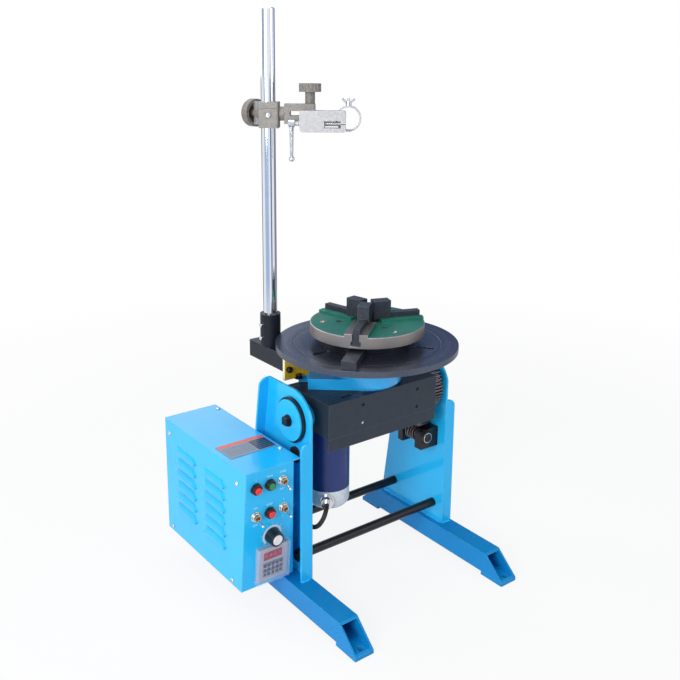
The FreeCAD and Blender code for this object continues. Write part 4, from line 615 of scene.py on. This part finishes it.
UPPER_ROW, LOWER_ROW, LETTER = 188.0, 136.0, 5.0
BUTTONS = ((-261.0, UPPER_ROW), (-235.0, UPPER_ROW), (-233.0, LOWER_ROW))
TOGGLES = ((-210.0, UPPER_ROW), (-259.0, LOWER_ROW), (-206.0, LOWER_ROW))
for k, ((u, w), words) in enumerate(zip(BUTTONS, ("I", "RUN", "STOP"))):
    print_text("print_button_%d" % k, words, u, w + 14.5, LETTER)
for k, ((u, w), (high, low)) in enumerate(zip(TOGGLES, (("FWD", "REV"), ("ON", "OFF"), ("1", "2")))):
    print_text("print_toggle_%d_high" % k, high, u, w + 15.5, LETTER)
    print_text("print_toggle_%d_low" % k, low, u, w - 16.5, LETTER)
    lathe("toggle_washer_%d" % k, panel(u, w), P_OUT, [(8.6, 0), (8.6, 0.5), (8.2, 0.8)], plated, "base")
    lathe("toggle_collar_%d" % k, panel(u, w, 2.5), P_OUT, [(7.2, 0), (7.2, 0.8), (6.6, 1.3)], plated, "base")
for k, (u, w) in enumerate(BUTTONS):
    lathe("bezel_lip_%d" % k, panel(u, w), P_OUT, [(9.6, 0), (9.6, 1.2), (9.0, 1.7)], plastic, "base")
    lathe("bezel_rim_%d" % k, panel(u, w, 6.2), P_OUT,
          [(8.7, 0), (8.75, 0.5), (8.3, 1.1), (6.9, 1.25), (6.9, 0.2)], plastic, "base")

KNOB = (-226.0, 91.0)
DIAL_START, DIAL_SWEEP, DIAL_FACE = 225.0, 270.0, 0.9
ARC_INNER, ARC_OUTER, NUMBERS_R, NUMBER_SIZE = 14.6, 18.4, 20.8, 3.1


def on_dial(share, radius, lift=0.0):
    """The panel's u and w at this share of the dial's sweep."""
    a = math.radians(DIAL_START - DIAL_SWEEP * share)
    return KNOB[0] + radius * math.cos(a), KNOB[1] + radius * math.sin(a) + lift


def dial_arc(steps=100):
    """Pale printed arc round the knob."""
    bm = bmesh.new()
    pairs = [[bm.verts.new(panel(*on_dial(k / steps, r), DIAL_FACE)) for r in (ARC_INNER, ARC_OUTER)]
             for k in range(steps + 1)]
    for (a, b), (c, d) in zip(pairs, pairs[1:]):
        bm.faces.new((a, b, d, c))
    return made("dial_arc", bm, ink, "base", smooth=False)


for k in range(11):
    print_text("dial_number_%d" % k, str(k), *on_dial(k / 10, NUMBERS_R, 0.2), NUMBER_SIZE)


dial_arc()

# timer face behind its cover
TIMER_U, TIMER_W = -225.0, 41.0
KEY_PITCH_U, KEY_PITCH_W, KEY_HALF_U, KEY_HALF_W = 7.7, 8.3, 2.7, 3.0


def timer_plate(name, u0, u1, w0, w1, out, thick, look, radius, rim=0.0):
    """A plate on the timer's face, with its sides given from the timer's middle."""
    outline = [panel(TIMER_U + u, TIMER_W + w, out) for u, w in rounded(u0, u1, w0, w1, radius)]
    return slab(name, outline, thick, P_OUT, look, "base", rim)


timer_plate("timer_fascia", -25, 25, -27, 28, 6.0, 0.25, timer_grey, 2.0)
timer_plate("timer_display", -18.5, 16.5, 9, 23.5, 6.3, 0.3, display, 1.0)
timer_plate("timer_keyboard", -19.5, 19.5, -23, 4, 6.3, 0.25, keyboard_grey, 1.0)
for row in range(3):
    for col in range(5):
        u, w = KEY_PITCH_U * (col - 2), -1.5 - KEY_PITCH_W * row
        timer_plate("timer_key_%d_%d" % (row, col), u - KEY_HALF_U, u + KEY_HALF_U, w - KEY_HALF_W,
                    w + KEY_HALF_W, 6.5, 0.7, keys, 0.6, 0.15)
for k in range(4):
    print_text("timer_digit_%d" % k, "0", TIMER_U - 14 + 8.6 * k, TIMER_W + 16.2, 9.0, 6.65, label_red)

# ------------------------------------------------------------------ lid label: blank coloured fields only
LX0, LX1, LY0, LY1, LABEL_TOP = -271.0, -181.0, 12.0, 64.0, 272.8


def lid_plate(name, x0, x1, y0, y1, look, lift=0.03, thick=0.05, r=1.5):
    """A thin field on the label, lifted a little over what lies under it."""
    outline = [at(x, y, LABEL_TOP + lift) for x, y in rounded(x0, x1, y0, y1, r)]
    return slab(name, outline, thick, TOP, look, "base")


lid_plate("label_field", LX0, LX1, LY0, LY1, label_pale)
lid_plate("label_band", LX0 + 1, LX1 - 1, 54.0, 63.0, label_red, 0.09)
lid_plate("label_block", LX1 - 34, LX1 - 2, 15.0, 51.0, label_dark, 0.09)
for k in range(5):
    y = 20.5 + 6.3 * k
    lid_plate("label_rule_%d" % k, LX0 + 4, LX1 - 38, y, y + 0.9, label_dark, 0.09, r=0.3)
    lid_plate("label_box_%d" % k, LX1 - 31, LX1 - 6, y, y + 0.8, label_pale, 0.15, r=0.3)

# ------------------------------------------------------------------ pressed hoods over the box's louvres
SUNK = 0.3     # how deep a hood's rear lies in the sheet
HOOD = [(-SUNK, 0.0), (4.1, 0.0), (4.3, 1.6), (4.2, 4.2), (3.4, 7.5), (2.0, 11.0), (0.6, 14.0), (-SUNK, 15.5)]


def louvre_hood(name, y0, z0, length=70.0, round_end=9.0, steps=8):
    """A hood whose section (out from the sheet, up) shrinks into the sheet at both ends."""
    stops = [round_end * (1 - math.cos(math.pi / 2 * k / steps)) for k in range(steps + 1)]
    stops += [length - d for d in reversed(stops)]
    bm = bmesh.new()
    rows = []
    for d in stops:
        near = min(d, length - d, round_end)
        grow = math.sqrt(max(0.0, 1 - (1 - near / round_end) ** 2))
        taller = 0.6 + 0.4 * grow
        rows.append([bm.verts.new(at(BOX_SIDE + SUNK - (out + SUNK) * grow, y0 + d, z0 + rise * taller))
                     for out, rise in HOOD])
    tube(bm, rows)
    bmesh.ops.recalc_face_normals(bm, faces=bm.faces)
    return made(name, bm, blue, "base")


LOUVRE_LOW, LOUVRE_PITCH = 110.0, 22.0
for column, y0 in enumerate((20.0, 120.0)):
    for row in range(6):
        louvre_hood("louvre_hood_%d_%d" % (column, row), y0, LOUVRE_LOW + LOUVRE_PITCH * row)

# ------------------------------------------------------------------ welds
FOOT_TOP = 44.3
for tag, x_out, x_in, tip in (("left", -158.0, -154.0, -176.6), ("right", 152.6, 148.6, 171.2)):
    bead("weld_%s_out" % tag, [(x_out, -44, FOOT_TOP), (x_out, 116, FOOT_TOP)], 1.7, blue, "base")
    bead("weld_%s_in" % tag, [(x_in, -48, FOOT_TOP), (x_in, 118, FOOT_TOP)], 1.7, blue, "base")
    bead("weld_%s_front" % tag, [(x_out, -52, FOOT_TOP), (tip, -52, FOOT_TOP)], 1.9, blue, "base")
    bead("weld_%s_rear" % tag, [(x_out, 124, FOOT_TOP), (tip, 124, FOOT_TOP)], 1.9, blue, "base")

# ------------------------------------------------------------------ small fasteners
WORM_END = at(120, -37, 221.4)
for name, look, profile in (
        ("worm_end_face", black, [(8.1, -0.8), (8.1, 0.3), (3.2, 0.3), (3.0, 0.1)]),
        ("worm_end_ring", plated, [(9.6, -1.4), (9.6, -0.2), (8.1, -0.2), (8.0, -1.0)]),
        # a black disc over the collar's face, which makes the collar dark
        ("worm_collar_dark_disc", black, [(13.1, -1.9), (13.1, -1.1), (9.5, -1.0), (9.4, -1.6)])):
    lathe(name, WORM_END, FRONT, profile, look, "worm")

BRACKET_LEFT = -140.0
# the bracket's left edge face, coloured bright cream: a painted highlight
edge = [at(BRACKET_LEFT, y, z) for y, z in ((50.2, 366.2), (50.2, 403.8), (55.8, 403.8), (55.8, 366.2))]
slab("bracket_edge_highlight", edge, 0.15, LEFT, highlight_cream, "cradle")
hex_head("ear_bolt", at(-113, 47, 366), TOP, 10.0, 6.5, black, "cradle", washer=8.0, turn=25)
hex_head("bracket_bolt", at(-132, 50, 385), FRONT, 10.0, 6.0, black, "cradle", turn=7)

FACE_SCREW_R, FACE_SCREW_DEEP, FACE_SCREW_FROM_JAW = 78.0, 3.0, -72
for turn in JAW_TURNS:
    a = math.radians(turn + FACE_SCREW_FROM_JAW)
    seat = at(FACE_SCREW_R * math.cos(a), FACE_SCREW_R * math.sin(a), CHUCK_TOP - FACE_SCREW_DEEP)
    lathe("face_screw_%d" % turn, seat, TOP, [(4.55, 0), (4.55, 2.6), (4.1, 3.1), (2.3, 3.1), (2.0, 1.2)],
          brass, "table", 36)

CRADLE_FRONT, COUNTERBORE, SCREWS_MID, SCREWS_HALF = -60.0, 3.4, 6.5, 61.0
for k, (side, z) in enumerate(((-1, 305), (1, 305), (-1, 338), (1, 338))):
    seat = at(SCREWS_MID + side * SCREWS_HALF, CRADLE_FRONT + COUNTERBORE, z)
    lathe("cradle_screw_%d" % k, seat, FRONT, [(3.3, 0), (3.3, 1.2), (2.9, 1.5), (1.7, 1.5), (1.6, 0.3)],
          plated if k == 0 else black, "cradle", 30)

# ------------------------------------------------------------------ torch clamp: threads, plates and a screw
CLAMP_TURN, KNOB_SWING, CLAMP_FLOOR = -39.0, -42.0, 790.0
CT = math.radians(CLAMP_TURN)
CU = Vector((math.cos(CT), math.sin(CT), 0))
CV = Vector((-math.sin(CT), math.cos(CT), 0))
KT = math.radians(180 + CLAMP_TURN + KNOB_SWING)
KU = Vector((math.cos(KT), math.sin(KT), 0))
KV = KU.cross(Vector(TOP))


def clamp(x, y, z):
    """A point from the pole's axis and the clamp's underside: along the arm, across it, and up."""
    return at(*POLE, CLAMP_FLOOR) + (CU * x + CV * y + Vector(TOP) * z) * MM


HOLDER_Y, STUD_PITCH, SCREW_PITCH, STRAP_PITCH = -23.3, 1.25, 1.5, 0.8
thread("clamp_thread", clamp(0, 0, 24) + KU * 46.5 * MM, KU, 15.7, 4.25, STUD_PITCH, plated, "clamp_slider")
thread("holder_thread_in", clamp(98.5, HOLDER_Y, 9), CU, 27.0, 4.3, SCREW_PITCH, plated, "holder")
thread("holder_thread_out", clamp(47.5, HOLDER_Y, 9), CU, 8.0, 4.3, SCREW_PITCH, plated, "holder")
thread("strap_thread", clamp(138, HOLDER_Y + 19, 46.5), TOP, 3.6, 2.6, STRAP_PITCH, plated, "holder")
for side, out in ((24.4, -KU), (29.1, KU)):
    corners = [clamp(0, 0, z) + (KU * side + KV * across) * MM
               for across, z in ((7, 4), (-7, 4), (-7, 44), (7, 44))]
    slab("clamp_plate_%d" % side, corners, 0.15, out, alloy, "clamp_slider")
cross_head("block_screw", clamp(2, -20.5, 22), -CV, 4.6, 1.6, plated, "clamp_slider", 30)

# ------------------------------------------------------------------ motor cable
CABLE_R = 4.0
ROUTE = [(-119.50, -45.07, 165.0), (-128.31, -55.95, 165.0), (-137.0, -58.0, 150.0), (-142.0, -48.0, 134.0),
         (-144.0, -30.0, 128.0), (-144.0, -12.0, 138.0), (-143.0, -6.0, 160.0), (-142.0, -6.5, 193.0),
         (-141.0, -8.5, 222.0), (-141.5, -9.4, 242.5), (-144.0, -9.4, 257.6), (-159.0, -9.4, 257.6)]


def cable():
    """The lead as a mesh along one smooth curve from the connector to the grommet."""
    curve = bpy.data.curves.new("motor_lead", "CURVE")
    curve.dimensions = "3D"
    spline = curve.splines.new("NURBS")
    spline.points.add(len(ROUTE) - 1)
    for point, p in zip(spline.points, ROUTE):
        point.co = (*at(*p), 1)
    spline.order_u = 3
    spline.use_endpoint_u = True
    spline.resolution_u = 10
    curve.bevel_depth = CABLE_R * MM
    curve.bevel_resolution = 6
    curve.use_fill_caps = True
    holder = bpy.data.objects.new("lead_curve", curve)
    bpy.context.collection.objects.link(holder)
    bpy.context.view_layer.update()
    mesh = bpy.data.meshes.new_from_object(holder.evaluated_get(bpy.context.evaluated_depsgraph_get()))
    bpy.data.objects.remove(holder)
    mesh.materials.clear()
    mesh.materials.append(rubber.mat)
    mesh.polygons.foreach_set("use_smooth", [True] * len(mesh.polygons))
    obj = bpy.data.objects.new("motor_lead", mesh)
    bpy.context.collection.objects.link(obj)
    return obj


lead = cable()
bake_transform(lead)
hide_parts("motor_cable")

# ------------------------------------------------------------------ stage and light
FLOOR_HALF, FLOOR_DROP = 60.0, 0.0006
floor_mesh = bpy.data.meshes.new("floor")
floor_mesh.from_pydata([(x * FLOOR_HALF, y * FLOOR_HALF, 0) for x, y in ((-1, -1), (1, -1), (1, 1), (-1, 1))],
                       [], [(0, 1, 2, 3)])
floor = bpy.data.objects.new("floor", floor_mesh)
bpy.context.collection.objects.link(floor)
floor.location.z = -FLOOR_DROP


def bands(nodes, links, direction, table, soft=0.004):
    """A colour by compass direction: table is (degrees, colour), each up to the next one."""
    sep = nodes.new("ShaderNodeSeparateXYZ")
    links.new(direction, sep.inputs[0])
    turn = nodes.new("ShaderNodeMath")
    turn.operation = "ARCTAN2"
    links.new(sep.outputs[1], turn.inputs[0])
    links.new(sep.outputs[0], turn.inputs[1])
    part = nodes.new("ShaderNodeMapRange")
    part.inputs["From Min"].default_value = -math.pi
    part.inputs["From Max"].default_value = math.pi
    links.new(turn.outputs[0], part.inputs["Value"])
    ramp = nodes.new("ShaderNodeValToRGB")
    ramp.color_ramp.interpolation = "LINEAR"
    stops = []
    for (deg, colour), (end, _) in zip(table, table[1:] + [(180, None)]):
        low, high = (deg + 180) / 360 + soft, (end + 180) / 360 - soft
        stops += [(max(low, 0.0), colour), (min(high, 1.0), colour)]
    while len(ramp.color_ramp.elements) < len(stops):
        ramp.color_ramp.elements.new(0.5)
    for element, (where, colour) in zip(ramp.color_ramp.elements, stops):
        element.position = where
        element.color = rgba(colour)
    links.new(part.outputs[0], ramp.inputs[0])
    return ramp.outputs[0]


# what glossy rays find on the far floor and in the sky; the camera sees both white
SHINE = [(-180, (176, 200, 230)), (-130, (252, 252, 254)), (-100, (112, 136, 172)), (-75, (250, 250, 252)),
         (-32, (140, 142, 156)), (53, (120, 124, 140)), (110, (252, 252, 254)), (167, (176, 200, 230))]
SKY = [(-180, (160, 170, 180)), (-130, (188, 188, 190)), (-80, (112, 120, 142)), (-50, (177, 177, 185)),
       (-10, (90, 96, 112)), (20, (78, 93, 123)), (58, (250, 252, 255)), (112, (128, 135, 150))]

floor_mat = Tree("floor_white")
paths = floor_mat.nodes.new("ShaderNodeLightPath").outputs
fx, fy, _ = floor_mat.xyz()
reach = floor_mat.math("SQRT", floor_mat.math("ADD", floor_mat.math("POWER", fx, 2.0),
                                              floor_mat.math("POWER", fy, 2.0)))
far_off = floor_mat.range(reach, 0.9, 2.0, 0.0, 1.0)
seen = floor_mat.math("MAXIMUM", paths["Is Camera Ray"],
                      floor_mat.math("MAXIMUM", paths["Is Glossy Ray"], paths["Is Transmission Ray"]))
diffuse = floor_mat.nodes.new("ShaderNodeBsdfDiffuse")
diffuse.inputs["Color"].default_value = (0.9, 0.9, 0.9, 1)
glow = floor_mat.nodes.new("ShaderNodeEmission")
glow.inputs["Strength"].default_value = 1.0
shine = bands(floor_mat.nodes, floor_mat.links, floor_mat.coord, SHINE)
banded = floor_mat.math("MULTIPLY", paths["Is Glossy Ray"], far_off)
floor_mat.put(glow.inputs["Color"], floor_mat.mix(banded, (255, 255, 255), shine))
mixer = floor_mat.nodes.new("ShaderNodeMixShader")
floor_mat.put(mixer.inputs[0], floor_mat.math("MULTIPLY", seen, floor_mat.range(far_off, 0, 1, 0.86, 1.0)))
floor_mat.links.new(diffuse.outputs[0], mixer.inputs[1])
floor_mat.links.new(glow.outputs[0], mixer.inputs[2])
floor_mat.links.new(mixer.outputs[0], floor_mat.out.inputs[0])
floor_mat.nodes.remove(floor_mat.shader)
floor_mesh.materials.append(floor_mat.mat)


def softbox(name, place, aim, size, power):
    """A white area light at place that faces aim."""
    data = bpy.data.lights.new(name, "AREA")
    data.shape = "RECTANGLE"
    data.size, data.size_y = size
    data.energy = power
    obj = bpy.data.objects.new(name, data)
    bpy.context.collection.objects.link(obj)
    obj.location = place
    obj.rotation_euler = (Vector(aim) - Vector(place)).to_track_quat("-Z", "Y").to_euler()


softbox("key_left", (-2.4, -1.1, 1.3), (0, 0, 0.4), (1.3, 1.6), 50)
softbox("front_right", (1.5, -2.6, 1.5), (0, 0, 0.35), (0.9, 1.6), 14)
softbox("top", (0.0, 0.2, 2.6), (0, 0, 0.3), (1.8, 1.4), 15)
softbox("rear_left", (-1.2, 2.2, 1.6), (0, 0, 0.5), (1.0, 1.6), 14)

world = bpy.data.worlds.new("world")
bpy.context.scene.world = world
world.use_nodes = True
wn, wl = world.node_tree.nodes, world.node_tree.links
wn.clear()
out = wn.new("ShaderNodeOutputWorld")
room = wn.new("ShaderNodeBackground")
room.inputs["Color"].default_value = (0.82, 0.87, 0.95, 1)
room.inputs["Strength"].default_value = 0.40
studio = wn.new("ShaderNodeBackground")
studio.inputs["Strength"].default_value = 2.0
wl.new(bands(wn, wl, wn.new("ShaderNodeTexCoord").outputs["Generated"], SKY), studio.inputs["Color"])
white_back = wn.new("ShaderNodeBackground")
white_back.inputs["Color"].default_value = (1, 1, 1, 1)
path = wn.new("ShaderNodeLightPath").outputs
shiny, plain = wn.new("ShaderNodeMixShader"), wn.new("ShaderNodeMixShader")
wl.new(path["Is Glossy Ray"], shiny.inputs[0])
wl.new(room.outputs[0], shiny.inputs[1])
wl.new(studio.outputs[0], shiny.inputs[2])
wl.new(path["Is Camera Ray"], plain.inputs[0])
wl.new(shiny.outputs[0], plain.inputs[1])
wl.new(white_back.outputs[0], plain.inputs[2])
wl.new(plain.outputs[0], out.inputs[0])

bpy.context.scene.view_settings.view_transform = "Standard"
